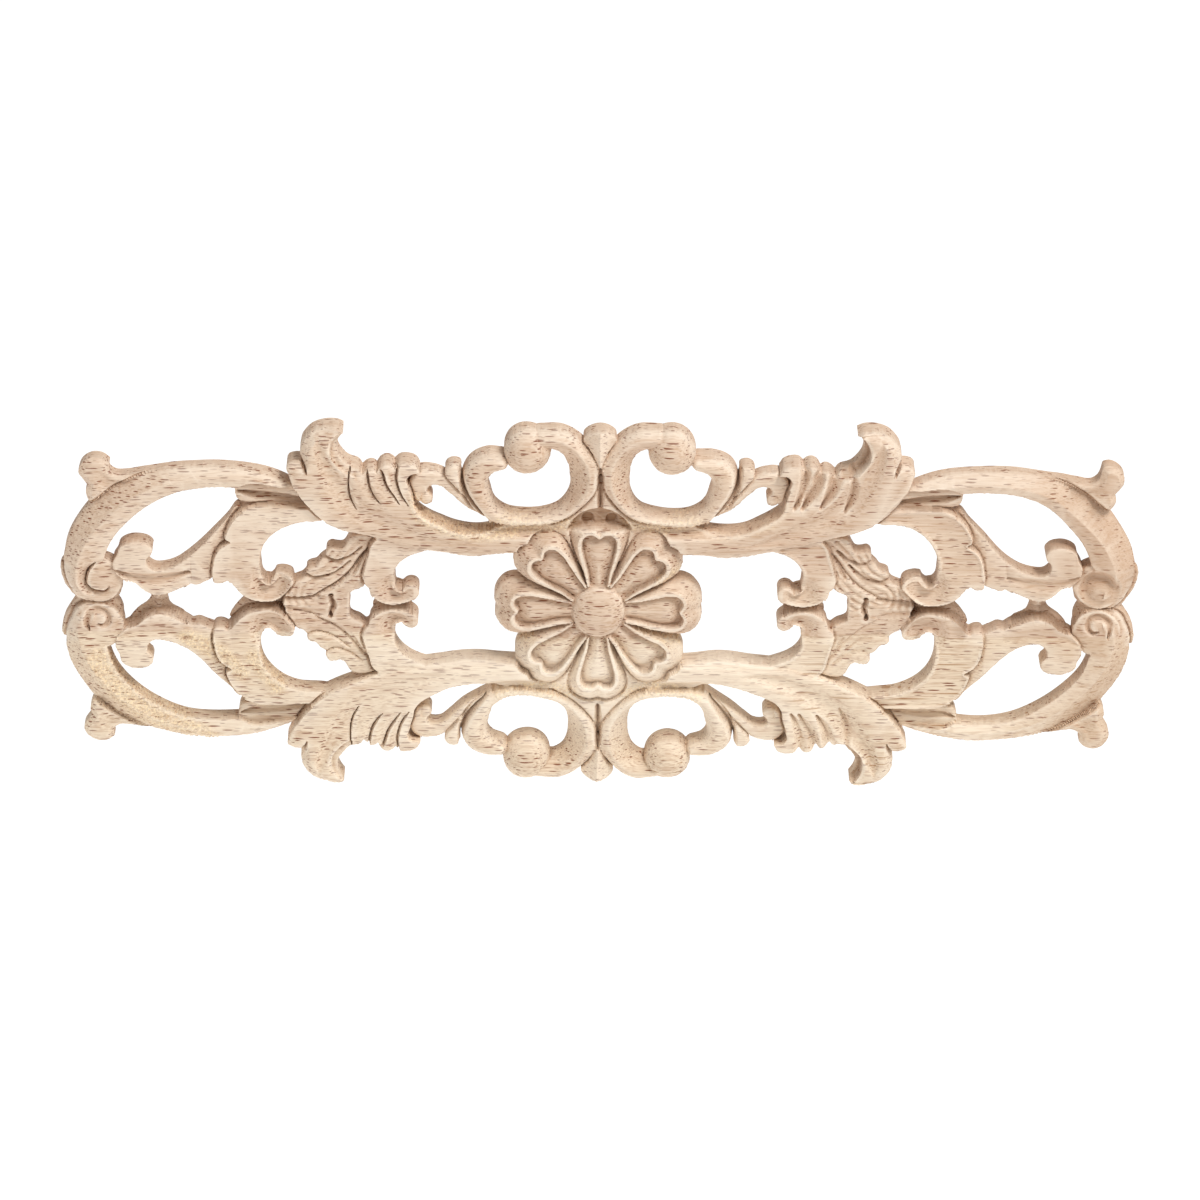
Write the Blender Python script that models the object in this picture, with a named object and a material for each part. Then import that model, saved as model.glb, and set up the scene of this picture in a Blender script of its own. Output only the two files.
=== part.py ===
"""A carved openwork wood applique, 350 mm long, in one piece.

The front is modelled as a carver works it: each motif is laid over the last one as a
shape with its own height, and grooves are cut afterwards. One quarter of the design is
drawn, in millimetres from the middle (u along the length, v up), and mirrored twice.
"""

import bpy
import bmesh
import numpy as np

# Driving dimensions, in millimetres
MM = 0.001
SHEET = (178.0, 64.0)
PITCH = 0.8
TRIANGLES = 9300
BACK_SKIN = 0.4

# Heights of the front above the flat back
BAND_TOP = 9.3
SCROLL_TOP = 9.5
STEM_TOP = 8.0
FLEUR_TOP = 7.2
SERRATED_TOP = 7.9
HUSK_TOP = 6.4
LEAF_TOP = 11.4
TENDRIL_TOP = 8.2
BUD_TOP = 9.2
RING_TOP = 10.8
WEB_TOP = 7.0
BALL_RISE = (5.6, 7.4)
PETAL_TOP = 12.3
DOME_RISE = (10.9, 4.0)
DOME_RADIUS = 9.0
PETAL_ANGLE = 45.0

WOOD_COLOUR = (0.74, 0.56, 0.40, 1.0)
LINE_STEP = 0.8
STEP_WALL = 0.8
REACH = 9.0
FAR = 60.0
CORNER = True

# How far the band reaches beyond its stroke on the outer side, and where its crest lies
# across its width: the first two along the length, the last up the end
BAND_SKIRT = ([97, 130, 150, 165], [0.5, 0.8, 1.7, 3.0])
BAND_CREST = ([97, 125, 150], [0.62, 0.55, 0.47])
END_CREST = ([8, 18, 30], [0.72, 0.6, 0.47])
END_FROM = 152.0
BAND_FALL = 6.4
BAND_STEEPNESS = 0.8

# Lines with a third value are strokes: it is the half width there. In an outline, a
# third value marks a corner.
BAND = [
    (97, 37.8, 2.4), (105, 41.1, 2.6), (115, 43.5, 2.8), (126, 44.1, 2.9), (137, 42.9, 3.1),
    (146.9, 39.1, 3.9), (155.3, 33.2, 4.5), (161.8, 25.6, 4.7), (165.4, 17.5, 5.1),
    (166, 10.5, 4.6), (165, 7, 4.0),
]
VOLUTE = (162.5, 8.0, 7.9)
VOLUTE_SKIRT = [
    (175, 13), (174.4, 7), (171.9, 2.2), (169, -1.5), (158, -1.5), (155, 3.5),
    (155.8, 9), (160, 15), (168, 17),
]
VOLUTE_CUT = [
    (163.2, 15, 0.3), (165.4, 12.2, 0.9), (166.3, 9.6, 1.3), (166.4, 7.4, 1.5),
    (164.7, 5.1, 1.5), (162.4, 4.3, 1.3), (160.2, 4.3, 0.9), (158.6, 6.2, 0.2),
]
FLEUR = [
    (139, 46.4), (147, 45.3), (153.5, 44.3), (156.5, 44.4), (158.6, 46), (158.4, 48.3, CORNER),
    (160.4, 49.9), (163.7, 50.3), (167, 48.3), (168.2, 45), (166.6, 42.2), (165.5, 40.6, CORNER),
    (166.1, 38.8), (165.6, 36), (163.5, 33.5), (156, 36), (146, 42, CORNER),
]
C_SCROLL = [
    (90, 35.2), (98, 35.3), (105.8, 35.4), (111.3, 35), (116.7, 32.7), (119.4, 29.8),
    (121, 26.6), (121.5, 23.5), (120.2, 22.6, CORNER), (123, 20.7), (124.7, 17.9),
    (125.4, 14.6), (125.7, 10.7), (124.7, 8.1), (122.4, 7.9), (120.6, 8.8, CORNER),
    (118.6, 6.4), (116.3, 3.8), (113, 1.9), (110, 1.2), (106.3, 1.2), (103.3, 2.5), (100.8, 5.0),
    (99, 8), (99.7, 10), (101.6, 11), (103.6, 11.3), (105.1, 11, CORNER),
    (105.9, 9.4), (107.7, 8.3), (109.5, 9.8), (110.1, 13), (110, 18.4), (108.4, 22.5),
    (105.6, 25.8), (102.4, 28), (98.4, 29.7), (90, 30.7),
]
C_DISH = (106.6, 8.4, 8.0)
C_SKIRT = [(102, 6), (104, -1.5), (113.5, -1.5), (118.2, 3), (120.2, 7), (110, 9)]
S_STEM = [
    (117, 34), (120.7, 29.7), (124.7, 25.2), (129.8, 19.6), (133.8, 16), (137.3, 13.6),
    (141, 12.3), (144.6, 12.2), (146.8, 14.1), (146.8, 16.6), (145.4, 18, CORNER), (144.9, 19.5),
    (146.3, 21.3), (149.5, 22.3), (153, 21.9), (155.7, 20), (156.3, 17.7), (157.5, 15.4),
    (157.7, 12.6), (156, 10), (153, 8), (150.3, 6.9), (148.5, 5.2), (146, 3.6), (143.3, 3),
    (140.2, 3.5), (137, 4.8), (134.4, 6), (132.5, 7.3, CORNER), (130.5, 6.9),
    (127.8, 8), (125.8, 8.8), (119, 13), (114, 31),
]
S_SKIRT = [
    (153, 8.4), (150.6, 5), (147, 2), (144.8, -1.5), (141.6, -1.5), (140, 2.6),
    (135.8, 5), (133.4, 8), (137, 10), (146, 10),
]
STEM_CHANNEL = [
    (156.5, 11.8, 0.8), (151, 9.6, 2.4), (145.4, 9.0, 2.8), (139, 9.8, 2.2), (133, 11.5, 0.8),
]
HUSK = [
    (118.1, 40.5, CORNER), (113.8, 42.5), (105, 42), (94, 39), (94, 35), (103, 35),
    (111.3, 35.3), (117.2, 36.7),
]
HUSK_CUT = [(94, 36.4, 1.0), (104, 37.4, 1.6), (112, 38.2, 1.4), (117, 39.4, 0.3)]
LEAF = [
    (14, 20), (26, 19.8), (33, 19.1), (38.6, 18.6), (44, 18.8), (49.7, 19.5), (55.2, 20.2),
    (62, 21.5), (70, 23.5), (77.2, 26), (85.8, 29.3), (89.7, 31.4), (94.1, 35.5),
    (98, 40.5), (100.7, 46.5), (101.4, 49), (100.8, 50), (99.2, 50.7), (97, 50.9, CORNER),
    (97, 54.5), (96.4, 57), (95.1, 59), (93.1, 61), (90.5, 62.2), (87.4, 62.7),
    (84.6, 62.2), (83.4, 60.8), (84.2, 59), (84.5, 57), (84.1, 54.7), (82.3, 51.5),
    (81, 50), (79.6, 48.9), (77.4, 48.2), (77, 47.4, CORNER), (75.4, 47.5), (73.5, 47.9),
    (72, 47.8, CORNER), (70.9, 49.1), (69.1, 50.1), (66.9, 49.9), (66.1, 49.3, CORNER),
    (64, 50.4), (61.3, 50.5), (58.7, 49.6), (57.9, 47.8, CORNER), (60.9, 47.3),
    (62.2, 45.5), (61.5, 43), (60.5, 40), (60.2, 36.6), (59, 34), (56.1, 31.8),
    (52.1, 29.7), (47.8, 27.7), (44, 26.8), (38.6, 26.6), (35, 27.2), (31, 28.8), (26, 29.0),
    (14, 28.4),
]
LEAF_VALLEY = [
    (50, 23.5, 2), (62, 26.5, 4), (72, 31.5, 5.5), (80, 37.5, 5.5), (86, 45.5, 4),
    (88.5, 53, 2.5), (89, 60, 1),
]
LEAF_CUTS = [
    [(81.6, 50.5, 0.9), (82.3, 46.6, 1.3), (82.3, 43.2, 1.3), (81.6, 39.4, 1), (79.4, 34.9, 0.3)],
    [(76.3, 49, 0.9), (75.9, 46.6, 1.3), (75.2, 43.2, 1.2), (73.6, 39.9, 0.9), (71.6, 37, 0.3)],
    [(71.6, 49, 0.9), (71.1, 47.7, 1.3), (69.9, 43.8, 1.2), (67.7, 39.9, 0.9), (65.7, 36.5, 0.3)],
    [(66.2, 50.5, 0.9), (66.8, 46.6, 1.3), (66.3, 43.2, 1.2), (64.9, 39.4, 0.9), (63.1, 36.5, 0.3)],
    [(97.6, 53, 0.9), (95.7, 49.5, 0.8), (95, 47.5, 0.2)],
]
TENDRIL = [
    (57.8, 38.8, 2.2), (58.5, 42, 3.1), (57.2, 44.2, 3.1), (54, 44.9, 2.4), (50.6, 44, 1.9),
    (47.2, 40.8, 1.5), (43.2, 36.9, 1.5), (37.7, 33.2, 1.3), (33, 30.7, 1.2),
]
BEAD = (56.3, 38.0, 2.1)
BUD = [
    (34.5, 29.9), (39, 33.7), (43, 37.9), (47, 42.6), (49.5, 45.7), (50, 47.6), (49.1, 49),
    (47.9, 49.6), (46.4, 49.6), (45.1, 49), (44.9, 46.6), (44.1, 43.2), (41.9, 38.5),
    (38.4, 33.3), (35, 29.5, CORNER),
]
BUD_CUT = [(45, 49, 1), (44.6, 45, 1.4), (43, 40, 1.5), (40, 35.5, 1.3), (36.5, 31.5, 0.5)]
RING = [
    (32, 50.8, 2.5), (35.8, 50.1, 3.3), (39.2, 47.6, 4.1), (40.5, 44.1, 4.3), (39.2, 39, 4.0),
    (36.5, 34.5, 3), (31, 31.2, 2.0), (25, 30.3, 1.6), (17.8, 30.8, 1.7), (12, 33, 2.0),
    (7.5, 37.8, 2.9), (5.1, 44, 4.5), (5.4, 49, 4.6), (8.1, 54.2, 4.3), (13, 57.5, 4.1),
    (19, 57.7, 4),
]
BALL = (23.3, 54.3, 7.7)
TOP_BUD = [
    (0, 61.9), (3, 61.1), (5.2, 59), (5.2, 57.6), (3.6, 56), (2.1, 53.5), (1.1, 50), (0.6, 46),
    (-0.6, 46), (-1.1, 50), (-2.1, 53.5), (-3.6, 56), (-5.2, 57.6), (-5.2, 59), (-3, 61.1),
]
MIDDLE_CUT = [(0, 35, 1.2), (0, 42, 1.4), (0, 48, 1.2), (0, 50, 0.4)]
WEB = [
    (-2, 48), (2, 48), (5, 42), (7, 36), (13, 31), (24, 29.6), (30, 28.6), (33, 27.4),
    (33, 25), (18, 18), (-2, 18),
]
INNER_SCROLL = [
    (55, 20.8), (57.8, 19.9), (61.8, 18.3), (64.1, 16.7), (65.6, 14.9), (66.6, 12.2), (66.3, 9.5),
    (65.8, 6.7), (64, 6.1), (62.6, 7.3, CORNER), (61.1, 7.7), (59.4, 7.2), (58.4, 6),
    (58.4, 4.3), (60.4, 2.2), (63.6, 1.1), (66.9, 0.6), (70.2, 1.1), (73.2, 2.6), (74.7, 4.8),
    (75.2, 6.8), (76.5, 7.6, CORNER), (77.2, 10), (76.4, 14), (75.2, 18), (74, 22), (70, 25),
    (60, 24),
]
INNER_DISH = (66.2, 6.4, 6.4)
INNER_SKIRT = [(60.4, 3.2), (62.8, -1.5), (71.6, -1.5), (74, 2.5), (68, 7)]
SERRATED = [
    (80.2, 24), (83.6, 19.7), (85.3, 19.8), (86.9, 20.1), (88, 19.5), (88.6, 18.2),
    (88.5, 16.7, CORNER), (90.4, 15.1), (91.7, 13.5), (93.8, 12.8), (94.7, 12),
    (94.8, 10.5, CORNER), (96.1, 8.9), (98.1, 8), (101, 6), (104, 3), (106, -1.5),
    (94, -1.5), (81, -1.5), (81.2, 2.1), (80.8, 4.4), (80, 5), (78.1, 5.7), (76.4, 7),
    (73, 11), (70, 22),
]
SERRATED_RIBS = [
    [(71.9, 22.1, 0.8), (77.4, 16, 1.5), (80.2, 12.1, 1.5), (84.1, 8.2, 1.5), (92, 3.5, 0.6)],
    [(76.1, 17.4, 0.6), (78, 13.8, 1), (79.9, 10.7, 0.6)],
    [(88.2, 16.6, 1.3), (86.2, 15.6, 1.3), (82, 16.5, 1.2), (77, 20, 0.4)],
    [(94.6, 10.4, 1.3), (92.6, 9.6, 1.3), (87, 10.8, 1.2), (81, 15, 0.4)],
    [(104, 2, 1.2), (97, 2.2, 1.5), (91, 3.4, 0.8)],
]
SLOT_CUT = [(87, 2.6, 1.0), (86.2, 0, 1.3), (86, -3, 1.3)]
PINHOLE = (87.0, 3.6, 0.9)

# Half of one rosette petal: distance from the middle, and half width there
PETAL_RIM = [
    (7.5, 2.6), (14, 4.7), (19, 6.1), (23, 6.9), (26, 6.5), (28.2, 4.6), (28.7, 2.6),
    (27.2, 0, CORNER),
]
PETAL_SCOOP = [
    (7.5, 1.7), (14, 3.6), (19, 4.9), (23, 5.6), (25.6, 5.2), (27, 3.8), (27.2, 2.2), (26, 0),
]
PETAL_TONGUE = [
    (7.5, 1.5), (14, 3.3), (19, 4.5), (22, 4.9), (23.8, 4.1), (24.6, 2.2), (24.6, 0),
]
PETAL_BASE = [
    (7.5, 3.1), (14, 5.9), (20, 8.6), (24, 10), (27.2, 10.1), (30.2, 8.8), (31.9, 6.8),
    (33.1, 4.7), (33.6, 2.4), (33.1, 0),
]


def smooth_line(points, closed=False):
    """Rounds the run between the points, but for corners, in steps of about LINE_STEP."""
    width = 2 if closed else len(points[0])
    knots = np.array([p[:width] for p in points], float)
    corner = [len(p) > width for p in points]
    count = len(knots)

    def slope(k, chord):
        """The line's direction at a knot, as on a circle through it and its neighbours."""
        if corner[k] or not (closed or 0 < k < count - 1):
            return chord
        back = knots[k] - knots[k - 1]
        ahead = knots[(k + 1) % count] - knots[k]
        near, far = np.hypot(*back[:2]), np.hypot(*ahead[:2])
        return (far * back / near + near * ahead / far) / (near + far) * np.hypot(*chord[:2])

    runs = []
    for k in range(count if closed else count - 1):
        start, end = knots[k], knots[(k + 1) % count]
        chord = end - start
        steps = max(2, int(np.ceil(np.hypot(*chord[:2]) / LINE_STEP)))
        t = (np.arange(steps) / steps)[:, None]
        runs.append(
            (2 * t**3 - 3 * t**2 + 1) * start
            + (t**3 - 2 * t**2 + t) * slope(k, chord)
            + (3 * t**2 - 2 * t**3) * end
            + (t**3 - t**2) * slope((k + 1) % count, chord)
        )
    if not closed:
        runs.append(knots[-1:])
    return np.concatenate(runs)


def measure(line, closed, u, v):
    """For each cell near the line: distance, side of the line and its half width there."""
    low = line[:, :2].min(axis=0) - REACH
    high = line[:, :2].max(axis=0) + REACH
    near = (u > low[0]) & (u < high[0]) & (v > low[1]) & (v < high[1])
    pu, pv = u[near], v[near]
    best = np.full(pu.shape, FAR)
    side = np.ones(pu.shape)
    width = np.full(pu.shape, 0.1)
    crossed = np.zeros(pu.shape, bool)
    ends = np.roll(line, -1, axis=0) if closed else line[1:]
    for start, end in zip(line, ends):
        du, dv = (end - start)[:2]
        t = ((pu - start[0]) * du + (pv - start[1]) * dv) / max(du * du + dv * dv, 1e-12)
        t = np.clip(t, 0, 1)
        away_u, away_v = pu - start[0] - t * du, pv - start[1] - t * dv
        away = np.hypot(away_u, away_v)
        closer = away < best
        best = np.where(closer, away, best)
        side = np.where(closer, np.sign(du * away_v - dv * away_u), side)
        if len(start) > 2:
            width = np.where(closer, start[2] + t * (end[2] - start[2]), width)
        if closed and start[1] != end[1]:
            level = (pv >= min(start[1], end[1])) & (pv < max(start[1], end[1]))
            crossed ^= level & (pu < start[0] + (pv - start[1]) * du / dv)
    result = []
    if closed:
        best = np.where(crossed, best, -best)
    for values, empty in ((best, -FAR if closed else FAR), (side, 1.0), (width, 0.1)):
        full = np.full(u.shape, empty)
        full[near] = values
        result.append(full)
    return result


def rounded(inside, radius):
    """How far a rounded edge lies below the face, at a distance inside the outline."""
    depth = np.clip(inside, 0, radius)
    return radius - np.sqrt(radius**2 - (radius - depth) ** 2)


def ramp(values, low, high):
    """Rises from 0 at low to 1 at high."""
    return np.clip((values - low) / (high - low), 0, 1)


class Relief:
    """One quarter of the front: how far each cell lies inside the wood, and how high."""

    def __init__(self):
        along = np.arange(0, SHEET[0] + PITCH / 2, PITCH)
        up = np.arange(0, SHEET[1] + PITCH / 2, PITCH)
        self.u, self.v = np.meshgrid(along, up)
        self.inside = np.full(self.u.shape, -FAR)
        self.top = np.zeros(self.u.shape)

    def plate(self, outline):
        return measure(smooth_line(outline, True), True, self.u, self.v)[0]

    def disc(self, spot):
        return spot[2] - np.hypot(self.u - spot[0], self.v - spot[1])

    def stroke(self, line):
        return measure(smooth_line(line), False, self.u, self.v)

    def lay(self, inside, top):
        """Lays a shape over what is there, with a steep step just inside its outline."""
        bare = self.inside < 0
        cover = np.clip(inside / STEP_WALL, 0, 1)
        mixed = np.where(bare, top, self.top + (top - self.top) * cover)
        outside = np.where(bare & (inside > self.inside), top, self.top)
        self.top = np.where(inside > 0, mixed, outside)
        self.inside = np.maximum(self.inside, inside)

    def join(self, inside, top):
        """Adds a shape that grows out of what is there: the higher of the two stays."""
        bare = self.inside < 0
        higher = np.where(bare, top, np.maximum(self.top, top))
        edge = np.where(bare & (inside > self.inside), top, self.top)
        self.top = np.where(inside > 0, higher, edge)
        self.inside = np.maximum(self.inside, inside)

    def cut(self, line, depth):
        """Cuts a V groove along a line, as wide as the line's third values say."""
        distance, _, width = self.stroke(line)
        self.top = self.top - depth * np.clip(1 - distance / width, 0, 1)


def lay_plate(relief, outline, height, radius):
    inside = relief.plate(outline)
    relief.lay(inside, height - rounded(inside, radius))


def carve_rim(relief):
    """The long band that frames each end, its slope outwards, and the volute it ends in."""
    lay_plate(relief, FLEUR, FLEUR_TOP, 1.0)
    inside = relief.plate(VOLUTE_SKIRT)
    relief.lay(inside, 3.0 + 4.5 * ramp(inside, 0, 3.5) - rounded(inside, 0.6))
    distance, side, half = relief.stroke(BAND)
    outer = side > 0
    skirt = np.interp(relief.u, *BAND_SKIRT)
    from_inner = half + distance * np.where(outer, 1, -1)
    width = 2 * half + skirt
    across_end = np.interp(relief.v, *END_CREST)
    crest = width * np.where(relief.u > END_FROM, across_end, np.interp(relief.u, *BAND_CREST))
    base = np.where(outer, half + skirt - distance, half - distance)
    face = BAND_TOP - 0.8 * ramp((crest - from_inner) / crest, 0, 1) - rounded(from_inner, 0.6)
    fall = np.minimum(BAND_FALL, BAND_STEEPNESS * (width - crest))
    slope = BAND_TOP - fall * ramp((from_inner - crest) / (width - crest), 0, 1)
    relief.lay(base, np.where(from_inner < crest, face, slope))
    inside = relief.disc(VOLUTE)
    relief.lay(inside, BAND_TOP - 0.3 - rounded(inside, 1.0) - 0.02 * (VOLUTE[2] - inside) ** 2)
    relief.cut(VOLUTE_CUT, 2.2)


def carve_serrated_leaf(relief):
    lay_plate(relief, SERRATED, SERRATED_TOP, 0.9)
    for rib in SERRATED_RIBS:
        relief.cut(rib, 2.0)
    relief.cut(SLOT_CUT, 5.0)


def carve_dished_scroll(relief, outline, dish, depth):
    """A flat-faced scroll with a shallow dish turned into its curl."""
    inside = relief.plate(outline)
    kept_rim = np.maximum(ramp(inside, 0.8, 2.4), ramp(relief.v, dish[1] - 0.5, dish[1] + 2))
    hollow = depth * ramp(relief.disc(dish), 0, 5) * kept_rim
    relief.lay(inside, SCROLL_TOP - rounded(inside, 0.8) - hollow)


def carve_scrolls(relief):
    """The stem, the C-scroll and the small inner scroll, with the skirts below them."""
    for skirt in (S_SKIRT, C_SKIRT, INNER_SKIRT):
        inside = relief.plate(skirt)
        relief.lay(inside, 2.0 + 4.5 * ramp(inside, 0, 4) - rounded(inside, 0.5))
    lay_plate(relief, HUSK, HUSK_TOP, 0.6)
    relief.cut(HUSK_CUT, 2.0)
    inside = relief.plate(S_STEM)
    level = STEM_TOP + 1.2 * ramp(relief.u, 132, 146) - 2.8 * ramp(-relief.u, -126, -117)
    relief.lay(inside, level - rounded(inside, 1.0))
    relief.cut(STEM_CHANNEL, 1.6)
    carve_dished_scroll(relief, C_SCROLL, C_DISH, 2.4)
    carve_dished_scroll(relief, INNER_SCROLL, INNER_DISH, 2.2)


def carve_ring(relief):
    """The tendril, the bud and the open ring that ends in a ball."""
    lay_plate(relief, WEB, WEB_TOP, 0.6)
    distance, _, half = relief.stroke(TENDRIL)
    relief.lay(half - distance, TENDRIL_TOP - rounded(half - distance, 1.2))
    inside = relief.disc(BEAD)
    relief.lay(inside, TENDRIL_TOP - rounded(inside, 1.4))
    lay_plate(relief, BUD, BUD_TOP, 1.3)
    inside = relief.plate(TOP_BUD)
    relief.lay(inside, BUD_TOP + 1.4 - 3.0 * ramp(relief.u, 0, 5) - rounded(inside, 0.6))
    distance, side, half = relief.stroke(RING)
    inside = half - distance
    across = distance * side / half
    facet = ramp(relief.v, 31, 38) * ramp(-relief.u, -30, -16)
    facet = facet * (1 - 0.5 * ramp(relief.v, 52, 57))
    tube = 2.2 * (1 - np.sqrt(1 - ramp(np.abs(across), 0, 1) ** 2.4)) * (1 - facet)
    top = RING_TOP - rounded(inside, 1.0) - 0.5 * across**2 - tube
    relief.lay(inside, top - 3.6 * facet * ramp(-across, -0.35, 1))
    inside = relief.disc(BALL)
    dome = np.sqrt(1 - ramp(-inside, -BALL[2], 0) ** 2)
    relief.join(inside, BALL_RISE[0] + BALL_RISE[1] * dome)
    relief.cut(BUD_CUT, 2.6)
    relief.cut(MIDDLE_CUT, 4.0)


def carve_leaf(relief):
    """The big leaf: a round stem that opens into lobes with deep cuts between them."""
    inside = relief.plate(LEAF)
    stem = 1.6 * ramp(-relief.u, -66, -52) * (1 - ramp(inside, 0, 3)) ** 1.5
    distance, _, half = relief.stroke(LEAF_VALLEY)
    valley = 1.2 * np.clip(1 - (distance / half) ** 2, 0, 1) ** 1.5
    under_ring = 3.4 * ramp(relief.v, 23.5, 28.5) * ramp(-relief.u, -44, -33)
    tip = ramp(relief.v, 44, 52) * ramp(relief.u, 84, 89)
    roll = 3.0 * (1 - ramp(inside, 0, 3.2)) ** 2 * tip
    relief.lay(inside, LEAF_TOP - rounded(inside, 0.9) - stem - valley - under_ring - roll)
    for line in LEAF_CUTS:
        relief.cut(line, 3.4)


def carve_rosette(relief):
    """Eight heart-shaped petals with raised rims, scooped inside, round a dome."""
    radius = np.hypot(relief.u, relief.v)
    turn = np.degrees(np.arctan2(relief.v, relief.u)) + PETAL_ANGLE / 2
    off = np.radians(turn % PETAL_ANGLE - PETAL_ANGLE / 2)
    out, across = radius * np.cos(off), radius * np.sin(off)

    def petal(half):
        other = [(p[0], -p[1]) for p in half[::-1] if p[1] > 0]
        return measure(smooth_line(half + other, True), True, out, across)[0]

    rim, scoop, base = petal(PETAL_RIM), petal(PETAL_SCOOP), petal(PETAL_BASE)
    beyond = np.clip(-rim, 0, FAR)
    share = beyond / np.maximum(beyond + np.clip(base, 0, FAR), 0.01)
    between = (np.radians(PETAL_ANGLE / 2) - np.abs(off)) * radius
    valley = 2.0 * (1 - ramp(between, 0, 1.3)) * ramp(-radius, -29, -26)
    shoulder = PETAL_TOP - 0.3 - 8.0 * share**1.5 - valley
    bulge = 3.0 * np.sqrt(1 - (1 - ramp(petal(PETAL_TONGUE), -0.3, 4.4)) ** 2)
    hollow = PETAL_TOP - 3.4 * ramp(scoop, 0, 0.8) + bulge
    relief.lay(base, np.where(rim > 0, hollow, shoulder) - rounded(base, 0.8))
    dome = DOME_RISE[0] + DOME_RISE[1] * np.sqrt(1 - ramp(radius, 0, DOME_RADIUS + 0.1) ** 2)
    relief.lay(DOME_RADIUS - radius, dome)
    relief.top = relief.top - 1.4 * np.clip(1 - np.abs(radius - DOME_RADIUS - 0.3) / 0.8, 0, 1)


def carve_quarter():
    relief = Relief()
    carve_serrated_leaf(relief)
    carve_rim(relief)
    carve_scrolls(relief)
    carve_ring(relief)
    carve_leaf(relief)
    carve_rosette(relief)
    relief.inside = np.minimum(relief.inside, -relief.disc(PINHOLE))
    return relief


def mirrored(quarter):
    """The whole sheet from the quarter right of and above the middle."""
    half = np.concatenate([quarter[:, :0:-1], quarter], axis=1)
    return np.concatenate([half[:0:-1], half], axis=0)


def front_triangles(inside, top):
    """Cuts the sheet's triangles along the outline: points (x, z, height) and triangles."""
    rows, columns = inside.shape
    z, x = np.mgrid[0:rows, 0:columns].astype(float)
    x = (x - (columns - 1) / 2) * PITCH
    z = (z - (rows - 1) / 2) * PITCH
    slope_z, slope_x = np.gradient(inside, PITCH)
    steep = np.maximum(slope_x**2 + slope_z**2, 0.25)
    close = np.abs(inside) < 0.3 * PITCH
    x = np.where(close, x - inside * slope_x / steep, x)
    z = np.where(close, z - inside * slope_z / steep, z)
    level = np.where(close, 0.0, inside).ravel()
    flat = np.stack([x.ravel(), z.ravel(), top.ravel()], axis=1)
    index = np.arange(rows * columns).reshape(rows, columns)
    low_left, low_right = index[:-1, :-1].ravel(), index[:-1, 1:].ravel()
    top_left, top_right = index[1:, :-1].ravel(), index[1:, 1:].ravel()
    flip = ((x[:-1, :-1] * z[:-1, :-1]) > 0).ravel()
    cells = np.concatenate([
        np.stack([low_left, low_right, np.where(flip, top_right, top_left)], axis=1),
        np.stack([np.where(flip, low_left, low_right), top_right, top_left], axis=1),
    ])
    above = (level[cells] > 0).any(axis=1)
    below = (level[cells] < 0).any(axis=1)
    kept = [tuple(cell) for cell in cells[above & ~below]]
    cut_points, made = {}, []

    def crossing(a, b):
        key = (min(a, b), max(a, b))
        if key not in cut_points:
            share = level[key[0]] / (level[key[0]] - level[key[1]])
            made.append(flat[key[0]] + share * (flat[key[1]] - flat[key[0]]))
            cut_points[key] = len(flat) + len(made) - 1
        return cut_points[key]

    for cell in cells[above & below]:
        ring = []
        for k in range(3):
            a, b = int(cell[k]), int(cell[(k + 1) % 3])
            if level[a] >= 0:
                ring.append(a)
            if level[a] * level[b] < 0:
                ring.append(crossing(a, b))
        kept.extend((ring[0], ring[k], ring[k + 1]) for k in range(1, len(ring) - 1))
    return np.concatenate([flat, np.array(made)]), np.array(kept)


def solid_mesh(points, faces):
    """Closes the front with a flat back and upright walls."""
    used, faces = np.unique(faces, return_inverse=True)
    faces = faces.reshape(-1, 3)
    points = points[used]
    count = len(points)
    front = np.stack([points[:, 0], -points[:, 2], points[:, 1]], axis=1) * MM
    back = front * (1, 0, 1)
    edges = {}
    for a, b, c in faces:
        for pair in ((a, b), (b, c), (c, a)):
            edges[pair] = edges.get(pair, 0) + 1
    rim = [(a, b) for a, b in edges if (b, a) not in edges]
    walls = [(b, a, a + count, b + count) for a, b in rim]
    mesh = bpy.data.meshes.new("carved_applique")
    everything = [tuple(f) for f in faces] + [(c + count, b + count, a + count) for a, b, c in faces]
    mesh.from_pydata(np.concatenate([front, back]).tolist(), [], everything + walls)
    mesh.update()
    return mesh


def thin_out(part):
    """Keeps only the triangles that the form needs, then lays the back flat again."""
    dense = len(part.data.polygons)
    shrink = part.modifiers.new("thin out", "DECIMATE")
    shrink.ratio = TRIANGLES / dense
    graph = bpy.context.evaluated_depsgraph_get()
    mesh = bpy.data.meshes.new_from_object(part.evaluated_get(graph))
    part.modifiers.clear()
    part.data = mesh
    for vertex in mesh.vertices:
        if vertex.co.y > -BACK_SKIN * MM:
            vertex.co.y = 0.0


def wood():
    material = bpy.data.materials.new("carved wood")
    material.use_nodes = True
    shader = material.node_tree.nodes["Principled BSDF"]
    shader.inputs["Base Color"].default_value = WOOD_COLOUR
    shader.inputs["Roughness"].default_value = 0.6
    shader.inputs["Metallic"].default_value = 0.0
    return material


def main():
    for leftover in list(bpy.data.objects):
        bpy.data.objects.remove(leftover)
    quarter = carve_quarter()
    points, faces = front_triangles(mirrored(quarter.inside), mirrored(quarter.top))
    part = bpy.data.objects.new("carved_applique", solid_mesh(points, faces))
    bpy.context.scene.collection.objects.link(part)
    shape = bmesh.new()
    shape.from_mesh(part.data)
    bmesh.ops.triangulate(shape, faces=shape.faces)
    shape.to_mesh(part.data)
    shape.free()
    thin_out(part)
    part.data.materials.append(wood())


main()
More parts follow.
